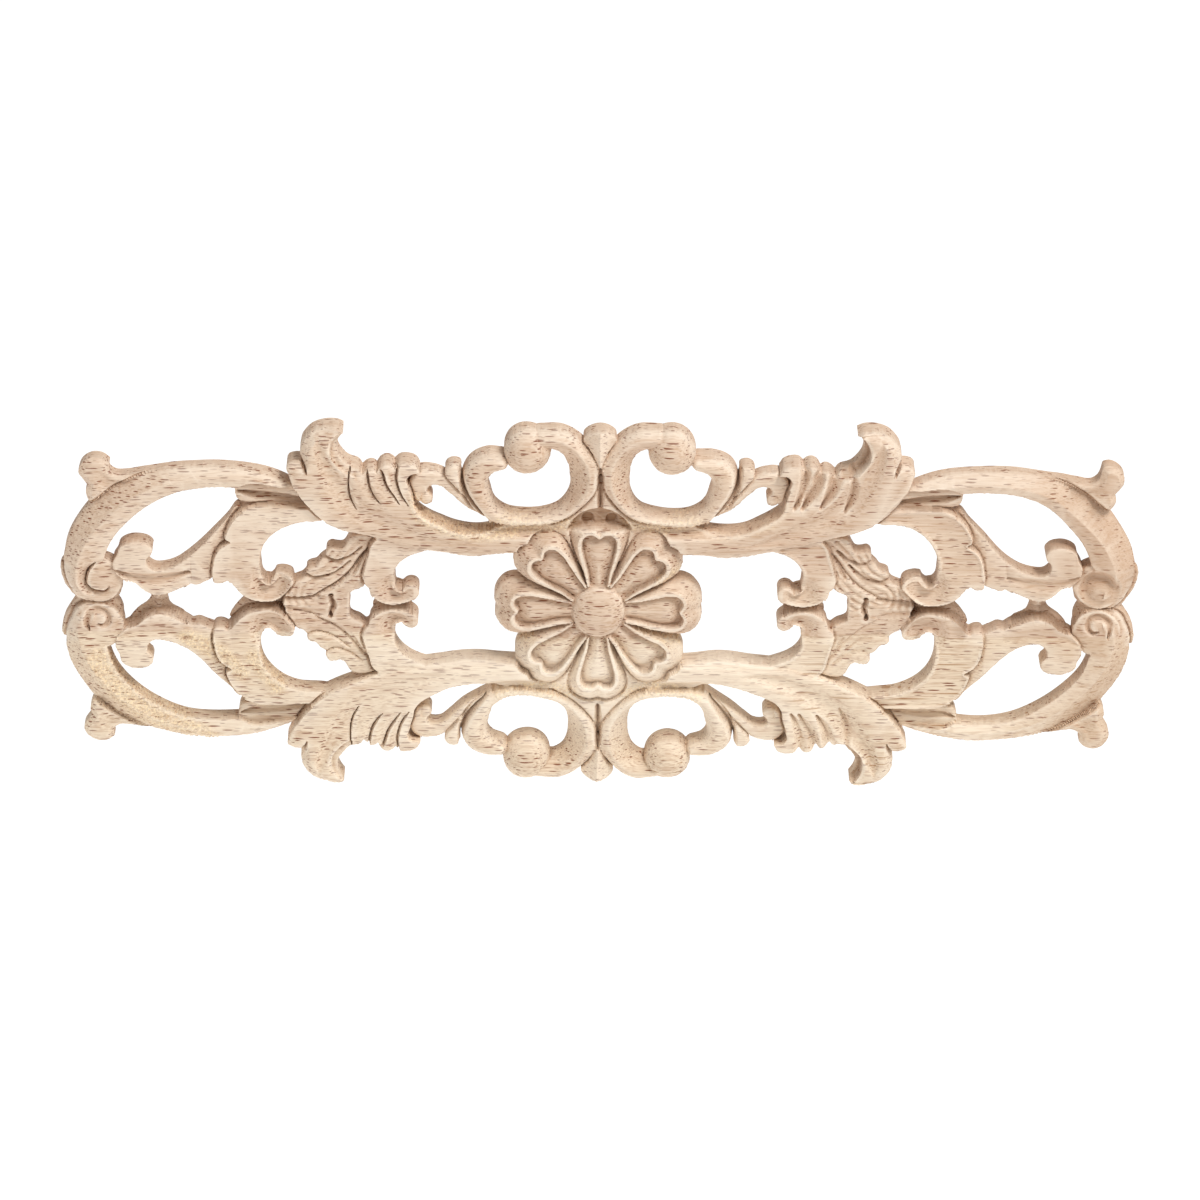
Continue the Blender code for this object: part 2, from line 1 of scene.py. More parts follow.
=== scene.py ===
# %% [markdown]
# This lesson carves an openwork wood applique, 350 mm long, of the kind that is glued to a
# cabinet door or a headboard. It is one piece of pale rubberwood, cut right through by a
# router and then carved on its front, with a flat back.

import math

import bpy
import numpy as np
from mathutils import Matrix, Vector


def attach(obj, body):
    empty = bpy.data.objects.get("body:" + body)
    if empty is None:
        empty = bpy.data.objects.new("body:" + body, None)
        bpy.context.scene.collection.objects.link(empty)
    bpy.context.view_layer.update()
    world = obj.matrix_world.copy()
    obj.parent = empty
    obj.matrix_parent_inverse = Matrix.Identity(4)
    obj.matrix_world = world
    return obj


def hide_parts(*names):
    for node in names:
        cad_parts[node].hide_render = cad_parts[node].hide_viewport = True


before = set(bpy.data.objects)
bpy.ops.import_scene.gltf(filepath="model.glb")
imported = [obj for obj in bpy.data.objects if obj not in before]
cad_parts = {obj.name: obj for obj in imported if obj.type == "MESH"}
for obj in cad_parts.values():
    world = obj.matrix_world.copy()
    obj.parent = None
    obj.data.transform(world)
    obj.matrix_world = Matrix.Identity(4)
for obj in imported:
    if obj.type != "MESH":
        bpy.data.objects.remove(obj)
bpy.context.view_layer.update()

# %% [markdown]
# A carver works a thin board from the front. That makes a height field the natural way to
# model it: for every spot of the board, how high the wood stands above its flat back. A
# height field can hold thousands of small cuts, and it never has a hole or a crossing face.
# Sizes are in millimetres until the mesh is made.

# %% Sizes of the board
MM = 0.001
SHEET = (178.0, 64.0)
PITCH = 0.34
WORKING_TRIANGLES = 186000
FAR = 60.0
REACH = 10.0
LINE_STEP = 0.6
STEP_WALL = 0.45
CORNER = True
print("one cell of the board is", PITCH, "mm wide")

# %% [markdown]
# The design repeats about its two middle lines, so one quarter is drawn: u runs out along
# the length and v runs up or down from the middle. A hand-finished carving isn't a perfect
# mirror, though. Each of the four quarters keeps its own heights, and a size may differ from
# the left half to the right, or from the upper half to the lower.

# %% The four quarters
def by_side(left, right):
    """One number for each quarter: upper right, upper left, lower left, lower right."""
    return np.array([right, left, left, right], float).reshape(4, 1, 1)


def by_row(upper, lower):
    """One number for each quarter, by the half that it belongs to."""
    return np.array([upper, upper, lower, lower], float).reshape(4, 1, 1)


RIGHT = by_side(0, 1)
LOWER = by_row(0, 1)
UPPER_RIGHT = RIGHT * (1 - LOWER)
print("the upper right quarter is number", int(UPPER_RIGHT.argmax()))

# %% [markdown]
# Every outline is a short list of points that a smooth line runs through. The line leaves
# each point in the direction of a circle through it and its two neighbours, which keeps
# scrolls round with few points. A point with an extra value is a sharp corner.

# %% A smooth line through a few points
def smooth_line(points, closed=False):
    """Rounds the run between the points, but for corners, in steps of about LINE_STEP."""
    width = 2 if closed else len(points[0])
    knots = np.array([p[:width] for p in points], float)
    corner = [len(p) > width for p in points]
    count = len(knots)

    def slope(k, chord):
        """The line's direction at a knot, as on a circle through it and its neighbours."""
        if corner[k] or not (closed or 0 < k < count - 1):
            return chord
        back = knots[k] - knots[k - 1]
        ahead = knots[(k + 1) % count] - knots[k]
        near, far = np.hypot(*back[:2]), np.hypot(*ahead[:2])
        return (far * back / near + near * ahead / far) / (near + far) * np.hypot(*chord[:2])

    runs = []
    for k in range(count if closed else count - 1):
        start, end = knots[k], knots[(k + 1) % count]
        chord = end - start
        steps = max(2, int(np.ceil(np.hypot(*chord[:2]) / LINE_STEP)))
        t = (np.arange(steps) / steps)[:, None]
        runs.append(
            (2 * t**3 - 3 * t**2 + 1) * start
            + (t**3 - 2 * t**2 + t) * slope(k, chord)
            + (3 * t**2 - 2 * t**3) * end
            + (t**3 - t**2) * slope((k + 1) % count, chord)
        )
    if not closed:
        runs.append(knots[-1:])
    return np.concatenate(runs)


print("a smooth line through three points has", len(smooth_line([(0, 0), (5, 2), (9, 0)])), "points")

# %% [markdown]
# Carving needs to know how far each cell of the board is from a line, and on which side. Only
# the cells near each short run of the line are measured, so that a fine board stays quick.
# A cell is inside a closed line if a ray from it crosses the line an odd number of times.

# %% Distances from a line
ALONG = np.arange(0, SHEET[0] + PITCH / 2, PITCH)
UP = np.arange(0, SHEET[1] + PITCH / 2, PITCH)
U, V = np.meshgrid(ALONG, UP)


def window(low, high, cells):
    """The run of cells from low to high along one edge of the board."""
    return slice(max(0, int(low / PITCH)), min(cells, int(high / PITCH) + 2))


def crossings(line):
    """True for each cell inside a closed line."""
    flips = np.zeros((len(UP), len(ALONG) + 1), int)
    for start, end in zip(line, np.roll(line, -1, axis=0)):
        rows = (UP >= min(start[1], end[1])) & (UP < max(start[1], end[1]))
        if rows.any():
            meets = start[0] + (UP[rows] - start[1]) * (end[0] - start[0]) / (end[1] - start[1])
            columns = np.clip(np.ceil(meets / PITCH).astype(int), 0, len(ALONG))
            np.add.at(flips, (np.flatnonzero(rows), columns), 1)
    return flips[:, ::-1].cumsum(axis=1)[:, ::-1][:, 1:] % 2 == 1


def measure(line, closed, reach=REACH):
    """For each cell near the line: distance, side of the line and its half width there."""
    best = np.full(U.shape, FAR)
    side = np.ones(U.shape)
    width = np.full(U.shape, 0.1)
    ends = np.roll(line, -1, axis=0) if closed else line[1:]
    for start, end in zip(line, ends):
        low, high = np.minimum(start, end) - reach, np.maximum(start, end) + reach
        near = (window(low[1], high[1], len(UP)), window(low[0], high[0], len(ALONG)))
        du, dv = (end - start)[:2]
        pu, pv = U[near] - start[0], V[near] - start[1]
        t = np.clip((pu * du + pv * dv) / max(du * du + dv * dv, 1e-12), 0, 1)
        away_u, away_v = pu - t * du, pv - t * dv
        away = np.hypot(away_u, away_v)
        closer = away < best[near]
        best[near] = np.where(closer, away, best[near])
        side[near] = np.where(closer, np.sign(du * away_v - dv * away_u), side[near])
        if len(start) > 2:
            width[near] = np.where(closer, start[2] + t * (end[2] - start[2]), width[near])
    if closed:
        best = np.where(crossings(line), best, -best)
    return best, side, width


print("the quarter has", U.size, "cells")

# %% [markdown]
# Three short names cover all that is measured. A plate is a closed outline and a disc is a
# round one. A stroke is an open line that has its own half width at each point.

# %% Plates, discs and strokes
def plate(outline):
    """How far each cell lies inside a closed outline, or outside it if below zero."""
    return measure(smooth_line(outline, True), True)[0]


def disc(spot):
    """How far each cell lies inside a disc, given as its middle and its radius."""
    return spot[2] - np.hypot(U - spot[0], V - spot[1])


def stroke(line):
    """Distance, side and half width for a line whose third values are half widths."""
    return measure(smooth_line(line), False)


print("a disc of 5 mm covers", int((disc((20, 20, 5)) > 0).sum()), "cells")

# %% [markdown]
# The same few curves shape every step of the carving: a rounded edge, a straight ramp, and
# a ramp with soft ends.

# %% Edges and ramps
def rounded(inside, radius):
    """How far a rounded edge lies below the face, at a distance inside the outline."""
    depth = np.clip(inside, 0, radius)
    return radius - np.sqrt(radius**2 - (radius - depth) ** 2)


def ramp(values, low, high):
    """Rises from 0 at low to 1 at high."""
    return np.clip((values - low) / (high - low), 0, 1)


def soft(values):
    """Rounds both ends of a ramp from 0 to 1."""
    return values * values * (3 - 2 * values)


print("a quarter of the way up, a soft ramp has risen to", soft(0.25))

# %% [markdown]
# The carving itself takes two moves. A shape is laid over what is there, with a steep step
# just inside its outline, as when a carver sets a motif down with a gouge. A line is cut,
# as a V or as a round flute. Laying can also leave a stop cut, the thin dark line that a
# knife leaves round a raised shape.

# %% The carver's moves
STOP_WIDTH = 0.8


class Board:
    """All four quarters: how far each cell lies inside the wood, its height and its marks."""

    def __init__(self):
        self.inside = np.full((4,) + U.shape, -FAR)
        self.top = np.zeros(self.inside.shape)
        self.fuzz = np.zeros(self.inside.shape)
        # Burn marks, and painted shade in the pocket and the leaf's cove.
        self.burn_and_shade = np.zeros(self.inside.shape)

    def lay(self, inside, top, stop=0.0):
        """Lays a shape over what is there. Its stop cut is so deep just outside it."""
        inside = np.broadcast_to(inside, self.inside.shape)
        bare = self.inside < 0
        cover = soft(np.clip(inside / STEP_WALL, 0, 1))
        nearby = np.clip(1 + inside / STOP_WIDTH, 0, 1) * (inside <= 0)
        under = self.top - stop * nearby
        mixed = np.where(bare, top, self.top + (top - self.top) * cover)
        outside = np.where(bare & (inside > self.inside), top, under)
        self.top = np.where(inside > 0, mixed, outside)
        self.inside = np.maximum(self.inside, inside)

    def join(self, inside, top):
        """Adds a shape that grows out of what is there: the higher of the two stays."""
        inside = np.broadcast_to(inside, self.inside.shape)
        bare = self.inside < 0
        higher = np.where(bare, top, np.maximum(self.top, top))
        edge = np.where(bare & (inside > self.inside), top, self.top)
        self.top = np.where(inside > 0, higher, edge)
        self.inside = np.maximum(self.inside, inside)

    def lay_plate(self, outline, height, radius, stop=0.0):
        """Lays a flat shape with a rounded edge."""
        inside = plate(outline)
        self.lay(inside, height - rounded(inside, radius), stop)

    def cut(self, line, depth, widen=1.0):
        """Cuts a V groove along a line, as wide as the line's third values say."""
        distance, _, width = stroke(line)
        self.top = self.top - depth * np.clip(1 - distance / (width * widen), 0, 1)

    def flute(self, line, depth, widen=1.0):
        """Cuts a round-bottomed flute along a line."""
        distance, _, width = stroke(line)
        self.top = self.top - depth * soft(np.clip(1 - distance / (width * widen), 0, 1))

    def shingle(self, line, drop, spread, low_side):
        """Lowers one side of a line, deepest at the line, so that its other side overlaps."""
        distance, side, width = stroke(line)
        fade = np.clip(1 - distance / spread, 0, 1) ** 1.5 * ramp(width, 0.3, 1.1)
        self.top = self.top - drop * fade * (side * low_side > 0)


board = Board()
print("the board has", len(board.top), "quarters")

# %% [markdown]
# The serrated leaf lies lowest, under the scrolls on either side of it. It was laid out in
# zigzag lobes with a rib down its middle and a side vein into each lobe. On the right half
# the carver left it rounder, so its veins are wider and shallower there.

# %% The serrated leaf
SERRATED_TOP = 7.9
SERRATED = [
    (80.2, 24), (83.6, 19.7), (85.3, 19.8), (86.9, 20.1), (88, 19.5), (88.6, 18.2),
    (88.5, 16.7, CORNER), (90.4, 15.1), (91.7, 13.5), (93.8, 12.8), (94.7, 12),
    (94.8, 10.5, CORNER), (96.1, 8.9), (98.1, 8), (101, 6), (104, 3), (106, -1.5),
    (94, -1.5), (81, -1.5), (81.2, 2.1), (80.8, 4.4), (80, 5), (78.1, 5.7), (76.4, 7),
    (73, 11), (70, 22),
]
MIDDLE_VEIN = [(71.9, 22.1, 0.8), (77.4, 16, 1.5), (80.2, 12.1, 1.5), (84.1, 8.2, 1.5), (92, 3.5, 0.6)]
SIDE_VEINS = [
    [(76.1, 17.4, 0.6), (78, 13.8, 1), (79.9, 10.7, 0.6)],
    [(88.2, 16.6, 1.3), (86.2, 15.6, 1.3), (82, 16.5, 1.2), (77, 20, 0.4)],
    [(94.6, 10.4, 1.3), (92.6, 9.6, 1.3), (87, 10.8, 1.2), (81, 15, 0.4)],
    [(104, 2, 1.2), (97, 2.2, 1.5), (91, 3.4, 0.8)],
]
RIDGE_SPACING = 2.3
SLOT_CUT = [(87, 2.6, 1.0), (86.2, 0, 1.3), (86, -3, 1.3)]
SLOT_DEPTH = 3.0
print("the serrated leaf has", len(SERRATED), "points and", len(SIDE_VEINS), "side veins")

# %% [markdown]
# Each vein lowers the lobe on one of its sides, so that the next lobe seems to overlap it.
# Fine ridges run along the middle rib. Below the middle line everything is shallower.

# %% Carving the serrated leaf
def carve_serrated_leaf(board):
    board.lay_plate(SERRATED, SERRATED_TOP, 0.9)
    share = by_row(1, 0.45)
    board.shingle(MIDDLE_VEIN, by_side(1.6, 1.0) * share, 4.5, 1)
    board.cut(MIDDLE_VEIN, by_side(1.8, 0.6) * share, 0.6)
    for vein in SIDE_VEINS:
        board.shingle(vein, by_side(1.7, 0.6) * share, 3.4, 1)
        board.cut(vein, by_side(1.2, 0.3) * share, 0.6)
        board.flute(vein, by_side(0.3, 1.2) * share, 1.6)
    distance, _, _ = stroke(MIDDLE_VEIN)
    ridges = np.abs(np.sin(np.pi * distance / RIDGE_SPACING))
    amount = by_side(0.5, 0.8) * by_row(1, 0.35) * ramp(distance, 1, 3)
    board.top = board.top - amount * ramp(plate(SERRATED), 0, 1) * (1 - ridges)
    board.cut(SLOT_CUT, SLOT_DEPTH)


carve_serrated_leaf(board)
print("serrated leaf: highest at", board.top.max(), "mm")

# %% [markdown]
# A long band frames each end. It starts under the big leaf, sweeps out with its outer side
# sloping away, and curls into a volute at the middle line. A small fleur grows out of it at
# each corner. The band is a stroke: a middle line with a half width at every point.

# %% The end bands, their volutes and the corner fleurs
BAND_TOP = 9.3
FLEUR_TOP = 7.2
BAND = [
    (97, 37.8, 2.4), (105, 41.1, 2.6), (115, 43.5, 2.8), (126, 44.1, 2.9), (137, 42.9, 3.1),
    (146.9, 39.1, 3.9), (155.3, 33.2, 4.5), (161.8, 25.6, 4.7), (165.4, 17.5, 5.1),
    (166, 10.5, 4.6), (165, 7, 4.0),
]
BAND_SKIRT = ([97, 130, 150, 165], [0.5, 0.8, 1.7, 3.0])
BAND_CREST = ([97, 125, 150], [0.62, 0.55, 0.47])
END_CREST = ([8, 18, 30], [0.72, 0.6, 0.47])
BAND_FALL = 6.4
BAND_STEEPNESS = 0.8
FLEUR_SCOOP = (157.5, 42.5, 6.5)
VOLUTE = (162.5, 8.0, 7.9)
VOLUTE_SKIRT = [
    (175, 13), (174.4, 7), (171.9, 2.2), (169, -1.5), (158, -1.5), (155, 3.5),
    (155.8, 9), (160, 15), (168, 17),
]
VOLUTE_CUT = [
    (163.2, 15, 0.3), (165.4, 12.2, 0.9), (166.3, 9.6, 1.3), (166.4, 7.4, 1.5),
    (164.7, 5.1, 1.5), (162.4, 4.3, 1.3), (160.2, 4.3, 0.9), (158.6, 6.2, 0.2),
]
LOWER_VOLUTE_CUT = [
    (166.2, 9.4, 0.2), (166.9, 6.2, 1.1), (165.9, 3.4, 1.3), (163.1, 2.2, 1.3), (160.3, 3.3, 1.2),
    (159.6, 5.8, 1.1), (161.2, 7.6, 0.9), (163.2, 7.0, 0.2),
]
BUTTON = (163.2, 5.2, 5.4)
BUTTON_HEIGHT = 3.0
BUTTON_RECESS = (163.0, 7.2, 7.4)
RECESS_DEPTH = 3.4
FLEUR = [
    (139, 46.4), (147, 45.3), (153.5, 44.3), (156.5, 44.4), (158.6, 46), (158.4, 48.3, CORNER),
    (160.4, 49.9), (163.7, 50.3), (167, 48.3), (168.2, 45), (166.6, 42.2), (165.5, 40.6, CORNER),
    (166.1, 38.8), (165.6, 36), (163.5, 33.5), (156, 36), (146, 42, CORNER),
]
FLEUR_UPPER_RIGHT = [
    (139, 46.4), (147, 45.2), (154.5, 43.8), (159.2, 43.7), (161.2, 45.2), (161.9, 46.8),
    (162.5, 49.6, CORNER), (164.6, 50.2), (167.6, 49.2), (169.8, 46.4), (169.7, 43.6),
    (168, 41.2), (166.9, 40, CORNER), (167.6, 38.2), (166.6, 35.6), (163.5, 33.5), (156, 36),
    (146, 42, CORNER),
]
print("the band has", len(BAND), "points and the fleur", len(FLEUR))

# %% [markdown]
# The band is highest along a crest. Its inner side is nearly flat, and its outer side falls
# away more and more towards the end. The volutes differ. The upper left one is a curl that
# was cut with a knife, the upper right one is a button in a round hollow, and the lower two
# have a small soft eye.

# %% Carving the band
def carve_band(board):
    inside = np.where(UPPER_RIGHT > 0, plate(FLEUR_UPPER_RIGHT), plate(FLEUR))
    scoop = 1.3 * soft(ramp(disc(FLEUR_SCOOP), 0, 5)) * ramp(inside, 0.8, 2.4)
    bevel = 1.6 * (1 - ramp(inside, 0, 1.9))
    board.lay(inside, FLEUR_TOP - bevel - scoop)
    inside = plate(VOLUTE_SKIRT)
    board.lay(inside, 3.0 + 4.5 * ramp(inside, 0, 3.5) - rounded(inside, 0.6))
    distance, side, half = stroke(BAND)
    outer = side > 0
    skirt = np.interp(U, *BAND_SKIRT)
    from_inner = half + distance * np.where(outer, 1, -1)
    width = 2 * half + skirt
    crest = width * np.where(U > 152, np.interp(V, *END_CREST), np.interp(U, *BAND_CREST))
    crest = crest * by_side(1, 0.8)
    base = np.where(outer, half + skirt - distance, half - distance)
    face = BAND_TOP - 1.1 * np.clip((crest - from_inner) / crest, 0, 1) - rounded(from_inner, 0.3)
    slope = np.clip((from_inner - crest) / (width - crest), 0, 1)
    fall = np.minimum(BAND_FALL, BAND_STEEPNESS * (width - crest))
    fallen = BAND_TOP - fall * slope - rounded(base, 0.4)
    board.lay(base, np.where(from_inner < crest, face, fallen), 1.6)
    inside = disc(VOLUTE)
    level = BAND_TOP - 0.3 - by_side(0, 0.7) * (1 - LOWER) - 0.02 * (VOLUTE[2] - inside) ** 2
    board.join(inside, level - rounded(inside, 0.5))
    curled = (1 - UPPER_RIGHT) * (1 - LOWER)
    board.shingle(VOLUTE_CUT, 2.6 * curled, 3.4, 1)
    board.cut(VOLUTE_CUT, 1.8 * curled, 0.5)
    board.flute(LOWER_VOLUTE_CUT, 1.6 * LOWER, 1.3)
    recess = RECESS_DEPTH * soft(ramp(disc(BUTTON_RECESS), 0, 3.4))
    button = BUTTON_HEIGHT * soft(ramp(disc(BUTTON), -0.4, 4.0))
    board.top = board.top + (button - recess) * UPPER_RIGHT


carve_band(board)
print("band and volute: highest at", board.top.max(), "mm")

# %% [markdown]
# Between the band and the leaf run an S-shaped stem and a C-scroll, and a small inner scroll
# grows out of the leaf's stem. Each has a flat face with a shallow dish turned into its curl.
# Below their curls, near the middle line, the wood slopes back like a skirt.

# %% The stem, the scrolls and the husk
SCROLL_TOP = 9.5
STEM_TOP = 8.0
HUSK_TOP = 6.4
C_SCROLL = [
    (84, 35.2, CORNER), (98, 35.3), (105.8, 35.4), (111.3, 35), (116.7, 32.7), (119.4, 29.8),
    (121, 26.6), (121.5, 23.5), (120.2, 22.6, CORNER), (123, 20.7), (124.7, 17.9),
    (125.4, 14.6), (125.7, 10.7), (124.7, 8.1), (122.4, 7.9), (120.6, 8.8, CORNER),
    (118.6, 6.4), (116.3, 3.8), (113, 1.9), (110, 1.2), (106.3, 1.2), (103.3, 2.5), (100.8, 5.0),
    (99, 8), (99.7, 10), (101.6, 11), (103.6, 11.3), (105.1, 11, CORNER),
    (105.9, 9.4), (107.7, 8.3), (109.5, 9.8), (110.1, 13), (110, 18.4), (108.4, 22.5),
    (105.6, 25.8), (102.4, 28), (98.4, 29.7), (90, 30.7),
    (84, 31.6, CORNER),
]
C_DISH = (106.6, 8.4, 8.0)
C_SKIRT = [(102, 6), (104, -1.5), (113.5, -1.5), (118.2, 3), (120.2, 7), (110, 9)]
S_STEM = [
    (117, 34), (120.7, 29.7), (124.7, 25.2), (129.8, 19.6), (133.8, 16), (137.3, 13.6),
    (141, 12.3), (144.6, 12.2), (146.8, 14.1), (146.8, 16.6), (145.4, 18, CORNER), (144.9, 19.5),
    (146.3, 21.3), (149.5, 22.3), (153, 21.9), (155.7, 20), (156.3, 17.7), (157.5, 15.4),
    (157.7, 12.6), (156, 10), (153, 8), (150.3, 6.9), (148.5, 5.2), (146, 3.6), (143.3, 3),
    (140.2, 3.5), (137, 4.8), (134.4, 6), (132.5, 7.3, CORNER), (130.5, 6.9),
    (127.8, 8), (125.8, 8.8), (119, 13), (114, 31),
]
S_SKIRT = [
    (153, 8.4), (150.6, 5), (147, 2), (144.8, -1.5), (141.6, -1.5), (140, 2.6),
    (135.8, 5), (133.4, 8), (137, 10), (146, 10),
]
STEM_CHANNEL = [
    (156.5, 11.8, 0.8), (151, 9.6, 2.4), (145.4, 9.0, 2.8), (139, 9.8, 2.2), (133, 11.5, 0.8),
]
HUSK = [
    (118.1, 40.5, CORNER), (113.8, 42.5), (105, 42), (94, 39), (94, 35), (103, 35),
    (111.3, 35.3), (117.2, 36.7),
]
HUSK_CUT = [(94, 36.4, 1.0), (104, 37.4, 1.6), (112, 38.2, 1.4), (117, 39.4, 0.3)]
INNER_SCROLL = [
    (55, 20.8), (57.8, 19.9), (61.8, 18.3), (64.1, 16.7), (65.6, 14.9), (66.6, 12.2), (66.3, 9.5),
    (65.8, 6.7), (64, 6.1), (62.6, 7.3, CORNER), (61.1, 7.7), (59.4, 7.2), (58.4, 6),
    (58.4, 4.3), (60.4, 2.2), (63.6, 1.1), (66.9, 0.6), (70.2, 1.1), (73.2, 2.6), (74.7, 4.8),
    (75.2, 6.8), (76.5, 7.6, CORNER), (77.2, 10), (76.4, 14), (75.2, 18), (74, 22), (70, 25),
    (60, 24),
]
INNER_DISH = (66.2, 6.4, 6.4)
INNER_SKIRT = [(60.4, 3.2), (62.8, -1.5), (71.6, -1.5), (74, 2.5), (68, 7)]
DISH_DEPTHS = (2.4, 2.2)
print("the C-scroll has", len(C_SCROLL), "points and the stem", len(S_STEM))

# %% [markdown]
# The skirts come first, because the stem and the scrolls lie over them. They are lower on
# the lower half. A dish is turned into the face of each scroll, inside a narrow rim.

# %% Carving the stem and the scrolls
def carve_dished_scroll(board, outline, dish, depth):
    """A flat-faced scroll with a shallow dish turned into its curl."""
    inside = plate(outline)
    open_side = np.maximum(soft(ramp(inside, 0.5, 1.8)), ramp(V, dish[1] - 0.5, dish[1] + 2))
    hollow = depth * soft(ramp(disc(dish), 0, 5.0)) * open_side
    rim = by_side(0, 0.5) * soft(ramp(inside, 0.7, 1.6)) * ramp(V, 12, 16)
    board.lay(inside, SCROLL_TOP - rounded(inside, 0.45) - hollow - rim, by_side(1.2, 0.5))


def carve_scrolls(board):
    for skirt in (S_SKIRT, C_SKIRT, INNER_SKIRT):
        inside = plate(skirt)
        level = by_row(2.0, 1.2) + by_row(4.5, 3.2) * ramp(inside, 0, 4)
        board.lay(inside, level - rounded(inside, 0.5))
    board.lay_plate(HUSK, HUSK_TOP, 0.5)
    board.flute(HUSK_CUT, by_row(2.8, 1.6), 1.3)
    inside = plate(S_STEM)
    level = STEM_TOP + 1.2 * ramp(U, 132, 146) - 2.8 * ramp(-U, -126, -117)
    board.lay(inside, level - rounded(inside, 0.4), by_side(0, 0.6))
    board.flute(STEM_CHANNEL, by_side(1.8, 1.2) * by_row(1, 0.4))
    carve_dished_scroll(board, C_SCROLL, C_DISH, DISH_DEPTHS[0])
    carve_dished_scroll(board, INNER_SCROLL, INNER_DISH, DISH_DEPTHS[1])


carve_scrolls(board)
print("scrolls: highest at", board.top.max(), "mm")

# %% [markdown]
# Over the middle stands a pair of open rings, each one a fat round stroke that ends in a
# ball. A bud lies against the ring, a thin tendril hooks round it, and a small ridged bud
# sits on the middle line, above the dark groove between the two rings.

# %% The tendril, the bud and the open ring
TENDRIL_TOP = 8.2
BUD_TOP = 9.2
RING_TOP = 10.8
WEB_TOP = 7.0
BALL_RISE = (5.6, 7.4)
TENDRIL = [
    (57.8, 38.8, 2.2), (58.5, 42, 3.1), (57.2, 44.2, 3.1), (54, 44.9, 2.4), (50.6, 44, 1.9),
    (47.2, 40.8, 1.5), (43.2, 36.9, 1.5), (37.7, 33.2, 1.3), (33, 30.7, 1.2),
]
BEAD = (56.3, 38.0, 2.1)
BUD = [
    (34.5, 29.9), (39, 33.7), (43, 37.9), (47, 42.6), (49.5, 45.7), (50, 47.6), (49.1, 49),
    (47.9, 49.6), (46.4, 49.6), (45.1, 49), (44.9, 46.6), (44.1, 43.2), (41.9, 38.5),
    (38.4, 33.3), (35, 29.5, CORNER),
]
BUD_CUT = [(45, 49, 1), (44.6, 45, 1.4), (43, 40, 1.5), (40, 35.5, 1.3), (36.5, 31.5, 0.5)]
RING = [
    (32, 50.8, 2.5), (35.8, 50.1, 3.3), (39.2, 47.6, 4.1), (40.5, 44.1, 4.3), (39.2, 39, 4.0),
    (36.5, 34.5, 3), (31, 31.2, 2.0), (25, 30.3, 1.6), (17.8, 30.8, 1.7), (12, 33, 2.0),
    (7.5, 37.8, 2.9), (5.1, 44, 4.5), (5.4, 49, 4.6), (8.1, 54.2, 4.3), (13, 57.5, 4.1),
    (19, 57.7, 4),
]
BALL = (23.3, 54.3, 7.7)
HALF_TOP_BUD = [
    (0, 61.9), (3, 61.1), (5.2, 59), (5.2, 57.6), (3.6, 56), (2.1, 53.5), (1.1, 50), (0.6, 46),
]
TOP_BUD = HALF_TOP_BUD + [(-u, v) for u, v in HALF_TOP_BUD[:0:-1]]
MIDDLE_CUT = [(0, 35, 1.0), (0, 40, 1.5), (0, 47, 1.3), (0, 50, 0.3)]
RING_CREASE = [(16.8, 47.6, 1.2), (15.3, 50.5, 1.8), (15.0, 53.2, 1.2), (15.4, 54.8, 0.4)]
WEB = [
    (-2, 48), (2, 48), (5, 42), (7, 36), (13, 31), (24, 29.6), (30, 28.6), (33, 27.4),
    (33, 25), (18, 18), (-2, 18),
]
FACET_DROP = 5.4
print("the ring has", len(RING), "points and the bud", len(BUD))

# %% [markdown]
# The web between the rings is laid first, then the tendril, the bud and the ring over them.
# Near the middle line the ring has a wide slanting facet, and elsewhere a round back. The
# ball grows out of the ring's end, so it is joined to it and not laid over it.

# %% Carving the ring
def carve_ring(board):
    inside = plate(WEB)
    board.lay(inside, WEB_TOP + 2.0 * ramp(-U, -20, -9) - rounded(inside, 1.0))
    distance, _, half = stroke(TENDRIL)
    board.lay(half - distance, TENDRIL_TOP - rounded(half - distance, 1.2))
    inside = disc(BEAD)
    board.lay(inside, TENDRIL_TOP - rounded(inside, 1.4))
    board.lay_plate(BUD, BUD_TOP, 1.3, 0.8)
    inside = plate(TOP_BUD)
    board.lay(inside, BUD_TOP + 1.4 - 3.0 * ramp(U, 0, 5) - rounded(inside, 0.4), 1.2)
    distance, side, half = stroke(RING)
    inside = half - distance
    across = distance * side / half
    facet = ramp(V, 31, 38) * ramp(-U, -30, -16) * (1 - 0.5 * ramp(V, 52, 57))
    tube = 3.0 * (1 - np.sqrt(1 - np.clip(np.abs(across), 0, 1) ** 2.4)) * (1 - facet)
    shoulder = 1.8 * (1 - ramp(inside, 0, 3)) ** 2 * ramp(V, 50, 56)
    top = RING_TOP - rounded(inside, 0.8) - 1.0 * across**2 - tube - shoulder
    board.lay(inside, top - FACET_DROP * facet * ramp(-across, -0.35, 1), 1.2)
    inside = disc(BALL)
    board.join(inside, BALL_RISE[0] + BALL_RISE[1] * np.sqrt(1 - ramp(-inside, -BALL[2], 0) ** 2))
    board.flute(BUD_CUT, 2.6, by_side(0.9, 1.3))
    board.cut(BUD_CUT, 1.6, 0.5)
    board.cut(MIDDLE_CUT, 3.2, 0.9)
    board.flute(RING_CREASE, by_row(2.6, 2.0))


carve_ring(board)
print("rings and balls: highest at", board.top.max(), "mm")

# %% [markdown]
# The big leaf grows out of the rosette as a round stem and opens into lobes that curl up at
# its tip. Its lobes are parted by deep cuts. On the left half the cuts are thin and the
# lobes overlap like shingles. On the right half they are wide, round flutes.

